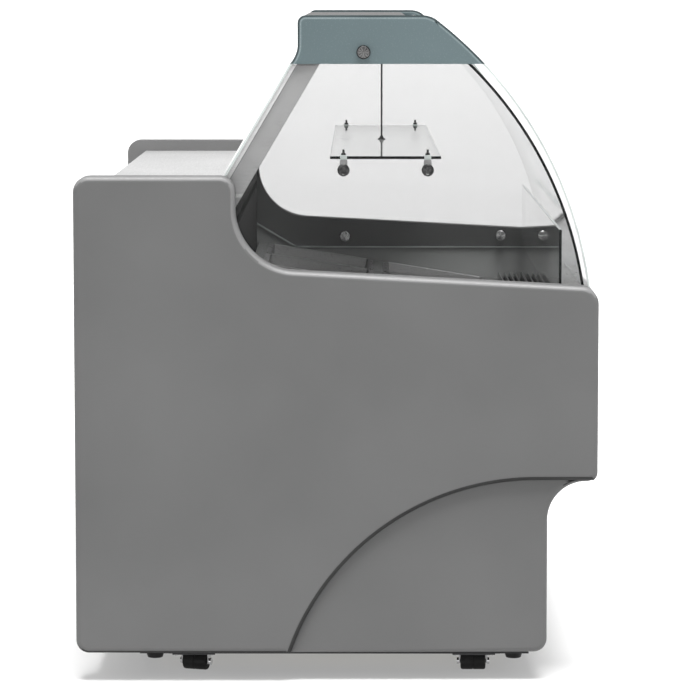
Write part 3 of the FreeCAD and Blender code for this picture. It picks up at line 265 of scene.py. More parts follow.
looks = {
    "moulded_panel": {"dark": 0.088, "light": 0.106, "broad": 2.2, "grain": 260,
                      "stretch": (1, 0.25, 1.4), "gloss": (0.48, 0.58), "relief": 0.08,
                      "sockets": {"Specular_IOR_Level": 0.3}},
    # Lighter copy of the moulding: painted light on roundings that face up, in the scoop and on the inner
    # face behind the well.
    "panelGleam": {"dark": 0.128, "light": 0.148, "broad": 2.2, "grain": 260,
                   "gloss": (0.48, 0.58), "relief": 0.05},
    # Darker copy of the moulding: painted shade under the recess lip and on edges that turn down.
    "panelShade": {"dark": 0.024, "light": 0.034, "broad": 6, "grain": 260,
                   "gloss": (0.55, 0.65), "relief": 0.08, "sockets": {"Specular_IOR_Level": 0.15}},
    "aluminium_profile": {"dark": 0.33, "light": 0.36, "broad": 2, "grain": 420,
                          "stretch": (0.15, 1, 1), "gloss": (0.42, 0.54), "relief": 0.05, "metal": 0.25},
    "canopySkin": {"dark": 0.044, "light": 0.056, "broad": 3, "grain": 420,
                   "stretch": (0.15, 1, 1), "gloss": (0.42, 0.54), "relief": 0.06, "metal": 0.2},
    "worktopSkin": {"dark": 0.29, "light": 0.33, "broad": 3, "grain": 500,
                    "stretch": (0.05, 1, 1), "gloss": (0.36, 0.46), "relief": 0.02, "metal": 0.3},
    "clipHousing": {"dark": 0.36, "light": 0.46, "broad": 30, "grain": 500,
                    "gloss": (0.3, 0.44), "relief": 0.1, "metal": 0.3},
    "knobSteel": {"dark": 0.09, "light": 0.17, "broad": 60, "grain": 700,
                  "gloss": (0.12, 0.24), "relief": 0.06, "metal": 1.0},
    "ductSkin": {"dark": 0.016, "light": 0.024, "broad": 5, "grain": 400,
                 "gloss": (0.65, 0.8), "relief": 0.02, "sockets": {"Specular_IOR_Level": 0.03}},
    "panSkin": {"dark": 0.21, "light": 0.25, "broad": 7, "grain": 380,
                "stretch": (0.1, 1, 1), "gloss": (0.26, 0.38), "relief": 0.05, "metal": 0.85},
    "white_profile": {"dark": 0.84, "light": 0.89, "broad": 3, "grain": 300,
                      "gloss": (0.34, 0.44), "relief": 0.03},
    "stainless_sheet": {"dark": 0.60, "light": 0.68, "broad": 4, "grain": 500,
                        "stretch": (0.05, 1, 1), "gloss": (0.26, 0.42), "relief": 0.16, "metal": 1.0},
    "bright_steel": {"dark": 0.50, "light": 0.62, "broad": 30, "grain": 700,
                     "stretch": (1, 1, 0.2), "gloss": (0.18, 0.32), "relief": 0.12, "metal": 1.0},
    "foam": {"dark": (0.74, 0.66, 0.38), "light": (0.84, 0.76, 0.48), "broad": 14, "grain": 220,
             "gloss": (0.8, 0.95), "relief": 0.5, "reliefDeep": 0.002},
    "painted_sheet": {"dark": (0.175, 0.175, 0.177), "light": (0.192, 0.192, 0.194), "broad": 3, "grain": 520,
                      "gloss": (0.36, 0.48), "relief": 0.16, "reliefDeep": 0.0003},
    "black_plastic": {"dark": 0.008, "light": 0.016, "broad": 20, "grain": 900,
                      "gloss": (0.38, 0.52), "relief": 0.15, "reliefDeep": 0.0002,
                      "sockets": {"Specular_IOR_Level": 0.25}},
    "frame_steel": {"dark": (0.016, 0.016, 0.017), "light": (0.028, 0.028, 0.029), "broad": 7, "grain": 420,
                    "gloss": (0.45, 0.6), "relief": 0.15, "metal": 0.1,
                    "sockets": {"Specular_IOR_Level": 0.25}},
    "black_steel": {"dark": (0.014, 0.014, 0.015), "light": (0.028, 0.028, 0.03), "broad": 12, "grain": 500,
                    "gloss": (0.30, 0.48), "relief": 0.2, "metal": 0.2},
    "coil_fins": {"dark": (0.52, 0.53, 0.54), "light": (0.66, 0.66, 0.67), "broad": 10, "grain": 300,
                  "gloss": (0.30, 0.45), "relief": 0.1, "metal": 0.95},
    "copper_pipe": {"dark": (0.62, 0.27, 0.14), "light": (0.80, 0.42, 0.26), "broad": 18, "grain": 400,
                    "gloss": (0.20, 0.38), "relief": 0.12, "metal": 1.0},
    "white_plastic": {"dark": (0.72, 0.72, 0.70), "light": (0.82, 0.82, 0.80), "broad": 10, "grain": 350,
                      "gloss": (0.32, 0.45), "relief": 0.08},
    "chrome_plate": {"dark": (0.66, 0.66, 0.67), "light": (0.76, 0.76, 0.77), "broad": 16, "grain": 300,
                     "gloss": (0.05, 0.16), "relief": 0.04, "metal": 1.0},
    "wheel_rubber": {"dark": 0.006, "light": 0.016, "broad": 25, "grain": 700,
                     "gloss": (0.42, 0.62), "relief": 0.2, "sockets": {"Specular_IOR_Level": 0.2}},
    "wallSkin": {"dark": (0.200, 0.205, 0.203), "light": (0.235, 0.241, 0.238), "broad": 2.4, "grain": 380,
                 "broadStretch": (1, 1, 0.3), "stretch": (1, 0.08, 1), "gloss": (0.5, 0.6), "relief": 0.012,
                 "sockets": {"Specular_IOR_Level": 0.12}},
    "wellSkin": {"dark": (0.156, 0.160, 0.158), "light": (0.184, 0.189, 0.186), "broad": 2.4, "grain": 380,
                 "broadStretch": (1, 1, 0.3), "stretch": (1, 0.08, 1), "gloss": (0.5, 0.6), "relief": 0.012,
                 "sockets": {"Specular_IOR_Level": 0.12}},
    "deckSheet": {"dark": (0.150, 0.153, 0.152), "light": (0.180, 0.183, 0.182), "broad": 3.0, "grain": 420,
                  "stretch": (0.06, 1, 1), "gloss": (0.34, 0.46), "relief": 0.05, "metal": 0.6},
    # Glass edges: black where they face the camera, painted shade; pale elsewhere, the glass's green tint
    # with painted light. The black also colours the knob seats.
    "blackSeatAndEdgeShade": {"dark": (0.003, 0.004, 0.004), "light": (0.006, 0.008, 0.008), "broad": 30, "grain": 300,
                  "gloss": (0.3, 0.4), "relief": 0.02, "sockets": {"Specular_IOR_Level": 0.05}},
    "glassEdgeTintAndLight": {"dark": (0.34, 0.37, 0.36), "light": (0.46, 0.49, 0.48), "broad": 12, "grain": 300,
                 "gloss": (0.14, 0.24), "relief": 0.05},
    "bandTeal": {"dark": (0.078, 0.108, 0.115), "light": (0.092, 0.126, 0.134), "broad": 2.4, "grain": 350,
                 "gloss": (0.22, 0.28), "relief": 0.004, "sockets": {"Specular_IOR_Level": 0.3}},
    # Band rim and line: painted shade on the chamfer and a painted highlight just inside it.
    "bandRimPaintedShade": {"dark": (0.030, 0.042, 0.045), "light": (0.045, 0.060, 0.063), "broad": 9, "grain": 350,
                "gloss": (0.3, 0.4), "relief": 0.02, "sockets": {"Specular_IOR_Level": 0.2}},
    "bandLinePaintedHighlight": {"dark": (0.125, 0.165, 0.172), "light": (0.150, 0.190, 0.198), "broad": 9, "grain": 350,
                 "gloss": (0.2, 0.3), "relief": 0.02},
    "clipDark": {"dark": 0.012, "light": 0.07, "broad": 160, "grain": 700,
                 "gloss": (0.22, 0.40), "relief": 0.3, "metal": 0.8},
    "clipClear": {"dark": (0.62, 0.68, 0.66), "light": (0.74, 0.79, 0.77), "broad": 40, "grain": 300,
                  "gloss": (0.1, 0.2), "relief": 0.05},
    "studioFloor": {"dark": 0.455, "light": 0.47, "broad": 0.6, "grain": 40,
                    "gloss": (0.8, 0.9), "relief": 0.01,
                    "sockets": {"Specular_IOR_Level": 0.0, "Emission_Color": (1, 1, 1, 1),
                                "Emission_Strength": 0.32}},
}
finishes = {name: layeredFinish(name, look) for name, look in looks.items()}


def paneFinish(name, tint, shadedLowTint, heights, glance=0.6, sharpness=4.0):
    # Clear sheet: lets the view through with a light tint, and mirrors more at a glance. The tint darkens
    # towards the bottom as painted shade.
    faceOn = 0.008
    smearScale = 9.0
    material = bpy.data.materials.new(name)
    material.use_nodes = True
    tree = material.node_tree
    tree.nodes.remove(tree.nodes["Principled BSDF"])
    where = addNode(tree, "TexCoord")
    split = addNode(tree, "SeparateXYZ")
    tree.links.new(where.outputs["Object"], split.inputs["Vector"])
    # Painted shade: the tint darkens from the top height down to the low one.
    paintedShadeFall = between(tree, split.outputs["Z"], 0.0, 1.0, *heights)
    clear = addNode(tree, "BsdfTransparent")
    tree.links.new(twoTone(tree, paintedShadeFall, shadedLowTint, tint, 0.0, 1.0), clear.inputs["Color"])
    mirror = addNode(tree, "BsdfAnisotropic", Color=(1, 1, 1, 1))
    smear = pattern(tree, (1, 1, 1), smearScale, 4.0)
    tree.links.new(between(tree, smear, 0.015, 0.06), mirror.inputs["Roughness"])
    facing = addNode(tree, "LayerWeight", Blend=0.5)
    steep = addNode(tree, "Math", operation="POWER")
    steep.inputs[1].default_value = sharpness
    share = addNode(tree, "MapRange", To_Min=faceOn, To_Max=glance)
    mix = addNode(tree, "MixShader")
    tree.links.new(facing.outputs["Facing"], steep.inputs[0])
    tree.links.new(steep.outputs["Value"], share.inputs["Value"])
    tree.links.new(share.outputs["Result"], mix.inputs["Fac"])
    tree.links.new(clear.outputs["BSDF"], mix.inputs[1])
    tree.links.new(mirror.outputs["BSDF"], mix.inputs[2])
    tree.links.new(mix.outputs["Shader"], tree.nodes["Material Output"].inputs["Surface"])
    return material


# Each sheet's tint aloft and low down, and the heights in metres between which it changes; the darker tint
# low down is painted shade.
panes = {
    "clear_glass": {"tint": 0.862, "shadedLowTint": 0.815, "heights": (0.78, 1.27)},
    "frontPane": {"tint": 0.985, "shadedLowTint": (0.97, 0.972, 0.971), "heights": (0.78, 1.27), "glance": 0.85,
                  "sharpness": 3.0},
    "innerPane": {"tint": 0.985, "shadedLowTint": (0.97, 0.972, 0.971), "heights": (0.78, 1.27), "glance": 0.96,
                  "sharpness": 1.5},
    "shelfPane": {"tint": (0.98, 0.988, 0.985), "shadedLowTint": (0.98, 0.988, 0.985), "heights": (0.9, 1.2),
                  "glance": 0.85, "sharpness": 2.5},
    "clear_acrylic": {"tint": (0.96, 0.965, 0.963), "shadedLowTint": (0.95, 0.955, 0.953), "heights": (1.0, 1.3)},
}
finishes.update({name: paneFinish(name, **pane) for name, pane in panes.items()})

lampLook = {"ribs": (1, 60, 1), "scale": 4.0, "dark": (0.78, 0.78, 0.76), "light": (0.86, 0.86, 0.84),
            "gloss": (0.32, 0.46), "relief": 0.2, "reliefDeep": 0.001, "glow": 0.15}


def lampFinish(look):
    material, tree, shader = newFinish("lamp_cover", Emission_Color=(1, 1, 0.97, 1),
                                       Emission_Strength=look["glow"])
    ribs = pattern(tree, look["ribs"], look["scale"], 2.0)
    tree.links.new(twoTone(tree, ribs, look["dark"], look["light"]), shader.inputs["Base Color"])
    tree.links.new(between(tree, ribs, *look["gloss"]), shader.inputs["Roughness"])
    addBump(tree, shader, look["relief"], ribs, look["reliefDeep"])
    return material


finishes["lamp_cover"] = lampFinish(lampLook)
print("finishes ready:", len(finishes))

# End panels.
endPanel = {"halfDeep": 536, "foot": 60, "top": 1042, "thick": 60, "scoopFace": 206.5, "scoopFoot": 855.0,
            "scoopRadius": 126, "ledgeFront": 815.5, "kickTop": 415, "kickBack": -434, "kickRadius": 80,
            "footCorner": 27, "topCorner": 32, "frontCorner": 36, "kickCorner": 20, "edge": 11,
            "backEdge": 1.5, "wellRear": 231}
step = {"deep": 15, "top": 419, "centre": (-410, -114), "radius": 533, "turn": 76, "steps": 44, "past": -600,
        "proud": 10, "lipReach": 13, "weldOff": 1.1, "weldReach": 2.4}
# The last two are the moulding made darker and lighter: painted shade and painted light.
panelSkins = ("moulded_panel", "wallSkin", "panelShade", "panelGleam")


def stepTool(outer):
    # The slab that cuts the recess: a sector swept round the step's centre.
    bm = bmesh.new()
    near = outer - step["proud"] * mm
    top = step["top"] * mm
    start = bm.verts.new((near, step["centre"][0] * mm, top))
    end = sweepPoint(bm, start, step["centre"], -1, math.radians(step["turn"]), step["steps"])
    low = bm.verts.new((near, step["past"] * mm, end.co.z))
    high = bm.verts.new((near, step["past"] * mm, top))
    for pair in ((end, low), (low, high), (high, start)):
        bm.edges.new(pair)
    bmesh.ops.contextual_create(bm, geom=list(bm.edges))
    thickenX(bm, step["proud"] * mm + step["deep"] * mm)
    return makeObject("stepTool", bm)


def panelSkin(face, outer, inner):
    # 1 towards the well; 2 painted shade, a darker copy of the moulding on the lip and the edges that turn
    # under;
    # 3 painted light, a lighter copy on roundings that face up and in the scoop, and on the inner face behind
    # the well.
    middle = face.calc_center_median()
    normal = face.normal
    wellRear = endPanel["wellRear"] * mm
    centre = Vector(step["centre"]) * mm
    fromCentre = middle.yz - centre
    inward = Vector((0, -fromCentre.x, -fromCentre.y)).normalized()
    onLip = abs(fromCentre.length - step["radius"] * mm) < step["lipReach"] * mm and normal.dot(inward) > 0.3
    inScoop = normal.y < -0.3 and middle.z > endPanel["scoopFoot"] * mm + 5 * mm and middle.y > 0
    turnsOut = normal.x < -0.1
    skin = 0
    if abs(middle.x - inner) < same:
        skin = 1 if middle.y < wellRear else 3
    if middle.x < outer + (step["deep"] + 1) * mm and (onLip or (normal.z < -0.45 and turnsOut)):
        skin = 2
    if middle.x < outer + endPanel["edge"] * mm and turnsOut and (normal.z > 0.3 or inScoop):
        skin = 3
    return skin


def buildEndPanels(p):
    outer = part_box("end_panel_left")[0].x
    inner = outer + p["thick"] * mm
    half = p["halfDeep"]
    sharp = 0.5      # radians
    flatArea = 0.04  # square metres: faces larger than this are the flats
    corners = [(half, p["foot"], p["footCorner"]), (half, p["top"], p["topCorner"]),
               (p["scoopFace"], p["top"], p["topCorner"]), (p["scoopFace"], p["scoopFoot"], p["scoopRadius"]),
               (-half, p["ledgeFront"], p["frontCorner"]), (-half, p["kickTop"], p["kickCorner"]),
               (p["kickBack"], p["kickTop"], p["kickRadius"]), (p["kickBack"], p["foot"], p["footCorner"])]
    block = makeObject("panelBody", extrudeOutline(corners, outer, inner))
    tool = stepTool(outer)
    pocket = block.modifiers.new("pocket", "BOOLEAN")
    pocket.object = tool
    pocket.operation = "DIFFERENCE"
    pocket.solver = "EXACT"
    bpy.context.view_layer.update()
    shaped = bpy.data.meshes.new_from_object(block.evaluated_get(bpy.context.evaluated_depsgraph_get()))
    for thing in (block, tool):
        bpy.data.objects.remove(thing)
    for word, sign in (("left", 1), ("right", -1)):
        bm = bmesh.new()
        bm.from_mesh(shaped)
        bmesh.ops.remove_doubles(bm, verts=bm.verts, dist=same)
        bmesh.ops.dissolve_limit(bm, angle_limit=0.001, verts=bm.verts, edges=bm.edges)
        floors = (outer, outer + step["deep"] * mm)
        lips = [e for e in bm.edges if e.is_manifold and e.calc_face_angle_signed() > sharp
                and any(all(abs(v.co.x - level) < same for v in e.verts) for level in floors)]
        bevelEdges(bm, lips, p["edge"] * mm, 6, False)
        # The rounding crosses itself where the lip starts, so those corners are welded.
        corner = Vector((outer, (p["edge"] + step["weldOff"] - half) * mm, (step["top"] + p["edge"]) * mm))
        close = [v for v in bm.verts
                 if abs(v.co.x - outer) < same and (v.co - corner).length < step["weldReach"] * mm]
        bmesh.ops.pointmerge(bm, verts=close, merge_co=corner)
        back = [e for e in bm.edges if e.is_manifold and e.calc_face_angle() > sharp
                and all(abs(v.co.x - inner) < same for v in e.verts)]
        bevelEdges(bm, back, p["backEdge"] * mm, 2)
        cutAcross(bm, "Y", p["wellRear"] * mm)
        bm.normal_update()
        for face in bm.faces:
            face.material_index = panelSkin(face, outer, inner)
        if sign < 0:
            bmesh.ops.scale(bm, vec=(-1, 1, 1), verts=bm.verts)
        panel = finishPiece("endPanel_" + word, bm, panelSkins, "end_panel_" + word)
        # Creases round the flats keep the shading of the rounding off them.
        flats = {key for face in panel.data.polygons if face.area > flatArea
                 for key in face.edge_keys}
        for edge in panel.data.edges:
            edge.use_edge_sharp = edge.use_edge_sharp or edge.key in flats


buildEndPanels(endPanel)
print("end panels made")

# Side glass with its coloured band.
sidePane = {"thick": 7.7, "clearance": 0.3, "foot": 771, "top": 1368, "band": 1269, "rear": 79, "flare": 16,
            "flareTall": 36, "flareRadius": 60, "cheek": 231, "cheekFoot": 82, "cut": (19, 59), "lean": 30.5,
            "arcCentre": (299, 703), "arcRadius": 827, "toe": (112.7, 771), "rearCorner": 16,
            "noseCorner": 16.8, "rim": 4.2, "rimLean": 1.2, "line": 3.6}
# Below the band's foot 0 clear, 1 edge, pale as painted light in the glass edge; above it 3 teal, 4 dark rim,
# painted shade on the chamfer, 5 light line, a painted highlight just inside it.
sideSkins = ("clear_glass", "glassEdgeTintAndLight", "clear_glass", "bandTeal", "bandRimPaintedShade", "bandLinePaintedHighlight")


def insetSides(bm, done, width):
    # Frames each of the pane's two sides; returns the faces of the frames.
    sides = [face for face in bm.faces if abs(face.normal.x) > 0.9 and face not in done]
    return set(bmesh.ops.inset_individual(bm, faces=sides, thickness=width * mm, depth=0.0)["faces"])


def sidePaneOutline(bm, p, outer):
    # Front arc, toe and leaning cheek, and a rear edge that flares out below its upright top.
    arcY, arcZ = p["arcCentre"]
    noseAngle = math.asin((p["top"] - arcZ) / p["arcRadius"])
    toeAngle = math.asin((p["foot"] - arcZ) / p["arcRadius"])
    nose = bm.verts.new((outer, (arcY - p["arcRadius"] * math.cos(noseAngle)) * mm, p["top"] * mm))
    toe = sweepPoint(bm, nose, p["arcCentre"], 1, noseAngle - toeAngle, 48)
    flareTop = bm.verts.new((outer, p["rear"] * mm, (p["band"] + p["flareTall"]) * mm))
    chord = Vector((p["flare"], -p["flareTall"]))
    middle = Vector((p["rear"] + p["flare"] / 2, p["band"] + p["flareTall"] / 2))
    across = Vector((p["flareTall"], p["flare"])).normalized()
    centre = middle + across * math.sqrt(p["flareRadius"] ** 2 - chord.length_squared / 4)
    bend = 2 * math.asin(chord.length / 2 / p["flareRadius"])
    flareFoot = sweepPoint(bm, flareTop, centre, 1, bend, 8)
    cheekTop = p["band"] - (p["cheek"] - p["rear"] - p["flare"]) / math.tan(math.radians(p["lean"]))
    cutY, cutZ = p["cut"]
    others = [(p["cheek"], cheekTop), (p["cheek"], p["foot"] + p["cheekFoot"]),
              (p["cheek"] - cutY, p["foot"] + cutZ), p["toe"]]
    chain = [flareFoot] + [bm.verts.new((outer, y * mm, z * mm)) for y, z in others] + [toe]
    top = bm.verts.new((outer, p["rear"] * mm, p["top"] * mm))
    for pair in list(zip(chain, chain[1:])) + [(flareTop, top), (top, nose)]:
        bm.edges.new(pair)
    for vert, rounding in ((top, p["rearCorner"]), (nose, p["noseCorner"])):
        roundCorners(bm, [vert], rounding * mm, 8)
    bmesh.ops.contextual_create(bm, geom=list(bm.edges))


def buildSidePanes(p):
    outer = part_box("side_glass_left")[0].x + p["clearance"] * mm
    bm = bmesh.new()
    sidePaneOutline(bm, p, outer)
    thickenX(bm, p["thick"] * mm)
    for face in bm.faces:
        face.material_index = 1
    rim = insetSides(bm, set(), p["rim"])
    line = insetSides(bm, rim, p["line"])
    for face in bm.faces:
        if face in line:
            face.material_index = 2
        elif abs(face.normal.x) > 0.9 and face not in rim:
            face.material_index = 0
    lean = p["rimLean"] * mm
    for vert in {v for f in rim for v in f.verts}:
        if any(abs(f.normal.x) < 0.5 for f in vert.link_faces):
            vert.co.x += lean if abs(vert.co.x - outer) < same else -lean
    cutAcross(bm, "Z", p["band"] * mm)
    for face in bm.faces:
        if face.calc_center_median().z > p["band"] * mm:
            face.material_index += 3
        elif face.material_index == 2:
            face.material_index = 0
    for word, sign in (("left", 1), ("right", -1)):
        copy = bm.copy()
        bmesh.ops.scale(copy, vec=(sign, 1, 1), verts=copy.verts)
        finishPiece("sideGlass_" + word, copy, sideSkins, "side_glass_" + word, 20)
    bm.free()


buildSidePanes(sidePane)

# Glass fixing knobs: the one through the band stands outside, the others inside, in brighter steel as painted
# light against the shade they sit in.
knob = {"radius": 13, "long": 12, "facets": 20, "facetDeep": 1.5, "seat": 1.2, "band": (-55.5, 1293),
        "inside": ((-11, 800), (-403.5, 802))}


def addKnob(bm, p, spot, toward, material):
    radius = p["radius"]
    long = p["long"]
    face = radius - 2.4
    foot = radius - 1.6
    side = [(foot, 0), (radius, 1), (radius, long - 1.4), (radius - 1.2, long), (face, long)]
    verts = addTurned(bm, side, 40, material)
    # Fan of shallow facets on the face.
    ring = bmesh.ops.create_circle(bm, cap_ends=True, cap_tris=True, segments=p["facets"],
                                   radius=face * mm)["verts"]
    rim = [v for v in ring if v.co.length > 1e-4]
    for facet in {facet for vert in ring for facet in vert.link_faces}:
        facet.material_index = material
    for number, vert in enumerate(sorted(rim, key=lambda v: math.atan2(v.co.y, v.co.x))):
        vert.co.z = -p["facetDeep"] * mm if number % 2 else 0.0
    bmesh.ops.translate(bm, verts=ring, vec=(0, 0, long * mm))
    back = bmesh.ops.create_circle(bm, cap_ends=True, segments=40, radius=foot * mm)["verts"]
    wide = radius + p["seat"]
    seat = addTurned(bm, [(0, 0), (wide, 0), (wide, 1), (0, 1)], 40, 1)
    moveTo(bm, verts + ring + back + seat, spot, toward)


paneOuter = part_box("side_glass_left")[0].x
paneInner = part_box("side_glass_left")[1].x
bm = bmesh.new()
y, z = knob["band"]
addKnob(bm, knob, (paneOuter, y * mm, z * mm), "-X", 0)
# The inside knobs take the brighter steel: painted light.
for y, z in knob["inside"]:
    addKnob(bm, knob, (paneInner, y * mm, z * mm), "X", 2)
mirrorX(bm)
finishPiece("glassKnobs", bm, ("knobSteel", "blackSeatAndEdgeShade", "bright_steel"), "standoff_screws", 14)

# Curved front glass.
frontPane = {"centre": (282, 696), "outer": 799.8, "thick": 5.6, "low": 8.4, "high": 53.0, "steps": 60}


def buildFrontGlass(p):
    low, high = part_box("front_glass")
    bm = bmesh.new()
    centreY, centreZ = p["centre"]
    inner = p["outer"] - p["thick"]
    angle = math.radians(p["low"])
    corners = []
    for x, radius in ((low.x, inner), (low.x, p["outer"]), (high.x, p["outer"]), (high.x, inner)):
        corners.append(bm.verts.new((x, (centreY - radius * math.cos(angle)) * mm,
                                     (centreZ + radius * math.sin(angle)) * mm)))
    face = bm.faces.new(corners)
    bmesh.ops.spin(bm, geom=[face], cent=(0, centreY * mm, centreZ * mm), axis=(-1, 0, 0),
                   angle=math.radians(p["high"] - p["low"]), steps=p["steps"])
    bmesh.ops.holes_fill(bm, edges=bm.edges, sides=4)
    bmesh.ops.recalc_face_normals(bm, faces=bm.faces)
    # 0 the clear sides, 1 the end nearer the camera, black as painted shade, 2 the other edges, pale as the
    # glass's green tint with painted light.
    for face in bm.faces:
        middle = face.calc_center_median()
        if abs(face.normal.x) > 0.9:
            face.material_index = 1 if middle.x < 0 else 2
        else:
            reach = (middle.yz - Vector(p["centre"]) * mm).length
            away = min(abs(reach - p["outer"] * mm), abs(reach - inner * mm))
            face.material_index = 0 if away < 0.5 * mm else 2
    finishPiece("curvedFrontGlass", bm, ("frontPane", "blackSeatAndEdgeShade", "glassEdgeTintAndLight"), "front_glass", 20)


buildFrontGlass(frontPane)


# Flat panes: shelf and inner front glass.
def buildFlatPane(name, node, pane):
    low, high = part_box(node)
    bm = bmesh.new()
    addBlock(bm, low, high, 0.8 * mm, 2, 1)
    bmesh.ops.recalc_face_normals(bm, faces=bm.faces)
    thin = min(range(3), key=lambda axis: (high - low)[axis])
    # Edges facing the camera are black as painted shade, the others pale as painted light in the glass edge.
    for face in bm.faces:
        if abs(face.normal[thin]) > 0.99:
            face.material_index = 0
        elif face.normal.x < -0.5:
            face.material_index = 2
    finishPiece(name, bm, (pane, "glassEdgeTintAndLight", "blackSeatAndEdgeShade"), node, 20)


buildFlatPane("glassShelf", "glass_shelf", "shelfPane")
buildFlatPane("innerFrontGlass", "inner_front_glass", "innerPane")
print("glass made")

# Shelf clips and hanger.
clip = {"radius": 12.5, "drop": 22, "disc": 8, "places": (-14.6, -187.4), "hangerY": -98, "rod": 2,
        "bracketHalf": 8, "bracketLong": 26, "jawHalf": 7, "jawLong": 24, "capHalf": 6, "capLong": 22,
        "jawTall": 1.5, "capTall": 2.5, "screwOut": 12, "discEdge": (1.5, 1.2)}


def buildShelfFittings(p):
    shelfLow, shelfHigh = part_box("glass_shelf")
    bm = bmesh.new()
    radius = p["radius"]
    thick = p["disc"]
    edgeIn, edgeUp = p["discEdge"]
    discZ = shelfLow.z - p["drop"] * mm
    jawZ = shelfLow.z - p["jawTall"] * mm
    capZ = shelfHigh.z + p["capTall"] * mm

    def clampBlock(y, half, start, end, low, high, rounding, segments, material):
        addBlock(bm, (paneInner + start * mm, (y - half) * mm, low), (end, (y + half) * mm, high),
                 rounding * mm, segments, material)

    for y in p["places"]:
        disc = addTurned(bm, [(0, 0), (radius - edgeIn, 0), (radius, edgeUp), (radius, thick - edgeUp),
                              (radius - edgeIn, thick), (0, thick)], 36, 1)
        moveTo(bm, disc, (paneInner, y * mm, discZ), "X")
        cap = addTurned(bm, [(0, 0), (radius - 1, 0), (radius, 0.8), (radius, 2), (radius - 1.6, 3),
                             (radius - 4, 3), (radius - 5, 2.2), (0, 2.2)], 36, 1)
        moveTo(bm, cap, (paneOuter, y * mm, discZ), "-X")
        # Bracket, its clear jaws either side of the shelf, and the clamping screw.
        clampBlock(y, p["bracketHalf"], 2, paneInner + p["bracketLong"] * mm, discZ + 5 * mm, jawZ, 1.2, 2, 0)
        clampBlock(y, p["jawHalf"], 2, paneInner + p["jawLong"] * mm, jawZ, shelfLow.z, 0.5, 1, 2)
        clampBlock(y, p["jawHalf"], 1.5, shelfLow.x - 0.2 * mm, shelfLow.z - 0.5 * mm,
                   shelfHigh.z + 0.5 * mm, 0.6, 2, 2)
        clampBlock(y, p["capHalf"], 1.5, paneInner + p["capLong"] * mm, shelfHigh.z, capZ, 0.8, 2, 2)
        screw = addTurned(bm, [(0, 0), (4.6, 0), (5, 0.8), (5, 3), (4, 4), (2.4, 4.4), (2.4, 11), (0, 11.6)],
                          24, 1)
        moveTo(bm, screw, (paneInner + p["screwOut"] * mm, y * mm, capZ))
    mirrorX(bm)
    tall = (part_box("canopy_lamp")[0].z - shelfHigh.z) / mm
    lower = [(0, 0), (9, 0), (9, 1.2), (5, 3), (3.4, 7), (p["rod"], 8.5)]
    upper = [(r, tall - h) for r, h in reversed(lower)]
    hanger = addTurned(bm, lower + upper, 24, 3)
    moveTo(bm, hanger, (0, p["hangerY"] * mm, shelfHigh.z))
    finishPiece("shelfClips", bm, ("clipHousing", "clipDark", "clipClear", "frame_steel"),
                "shelf_fittings", 30)


buildShelfFittings(clip)


# Sheet, profile and moulding pieces that keep their CAD shape.
def soften(node, width, skin=None, name=None):
    words = (name or node).split("_")
    title = words[0] + "".join(word.capitalize() for word in words[1:])
    return finishPiece(title, softenedMesh(node, width), [skin or slotOf[node]], node)


# The width of each piece's rounded edges.
softened = {"canopy_shell": 0.8, "canopy_lamp": 0.6, "hinge_pins": 0.6, "front_glass_clamp": 0.6,
            "door_tracks": 0.4, "door_frame_left": 1.0, "door_frame_right": 1.0, "door_pane_left": 0.4,
            "door_pane_right": 0.4, "worktop": 1.0, "well_liner": 0.5, "rear_air_duct": 0.4,
            "front_air_grille": 0.5, "front_ledge": 0.6, "front_panel": 0.6, "kick_panel": 0.5,
            "control_panel": 1.6, "power_switch": 0.9, "light_switch": 0.9, "defrost_button": 0.8,
            "base_frame": 1.5, "fan_motors": 0.6, "condenser_fan": 0.4, "evaporator_fan": 0.4,
            "drain_pipe": 0.5}
skins = {"well_liner": "wellSkin", "rear_air_duct": "ductSkin", "front_air_grille": "deckSheet",
         "canopy_shell": "canopySkin", "worktop": "worktopSkin"}
for node, width in softened.items():
    soften(node, width, skins.get(node))
for node in ("insulation", "refrigerant_pipes"):
    thing = frame["nodes"][node]
    thing.data.materials.clear()
    thing.data.materials.append(finishes[slotOf[node]])
print("sheet parts made")

# Leaning posts with their joint.
post = {"edge": 1.2, "jointLow": 996, "jointHigh": 1003}
bm = softenedMesh("rear_posts", post["edge"], 3)
for height in (post["jointLow"], post["jointHigh"]):
    cutAcross(bm, "Z", height * mm)
for face in bm.faces:
    face.material_index = int(post["jointLow"] * mm < face.calc_center_median().z < post["jointHigh"] * mm)
finishPiece("rearPosts", bm, ("aluminium_profile", "stainless_sheet"), "rear_posts")

# Pan deck and pans.
panSet = {"slope": 9.1, "datum": (112.7, 771), "long": 325, "wide": 265, "deep": 150, "rim": 11, "wall": 1.5,
          "corner": 20, "taper": 6, "foot": 12, "lip": (1.2, -2.0), "heel": (4, -8), "dish": (8, -2.5),
          "sheet": 1.2}
soften("pan_deck", 0.5, "deckSheet")


def insetStep(bm, face, width, depth):
    bmesh.ops.inset_individual(bm, faces=[face], thickness=width * mm, depth=depth * mm)


def addPan(bm, p, left, near, far):
    # One pan, drawn level as a single sheet: flat rim, tapered walls and a dished floor.
    right = left + p["long"] * mm
    before = set(bm.verts)
    spots = ((left, near), (right, near), (right, far), (left, far))
    face = bm.faces.new([bm.verts.new((x, y, p["wall"] * mm)) for x, y in spots])
    roundCorners(bm, list(face.verts), p["corner"] * mm, 6)
    face = [f for f in bm.faces if not set(f.verts) & before][0]
    insetStep(bm, face, p["rim"] + p["wall"], 0)
    insetStep(bm, face, *p["lip"])
    floor = bmesh.ops.extrude_discrete_faces(bm, faces=[face])["faces"][0]
    bmesh.ops.translate(bm, verts=list(floor.verts), vec=(0, 0, -(p["deep"] - p["foot"] - 4) * mm))
    shrink = 1 - p["taper"] / (p["wide"] / 2)
    bmesh.ops.scale(bm, vec=(shrink, shrink, 1), verts=list(floor.verts),
                    space=Matrix.Translation(-floor.calc_center_median()))
    insetStep(bm, floor, *p["heel"])
    insetStep(bm, floor, *p["dish"])


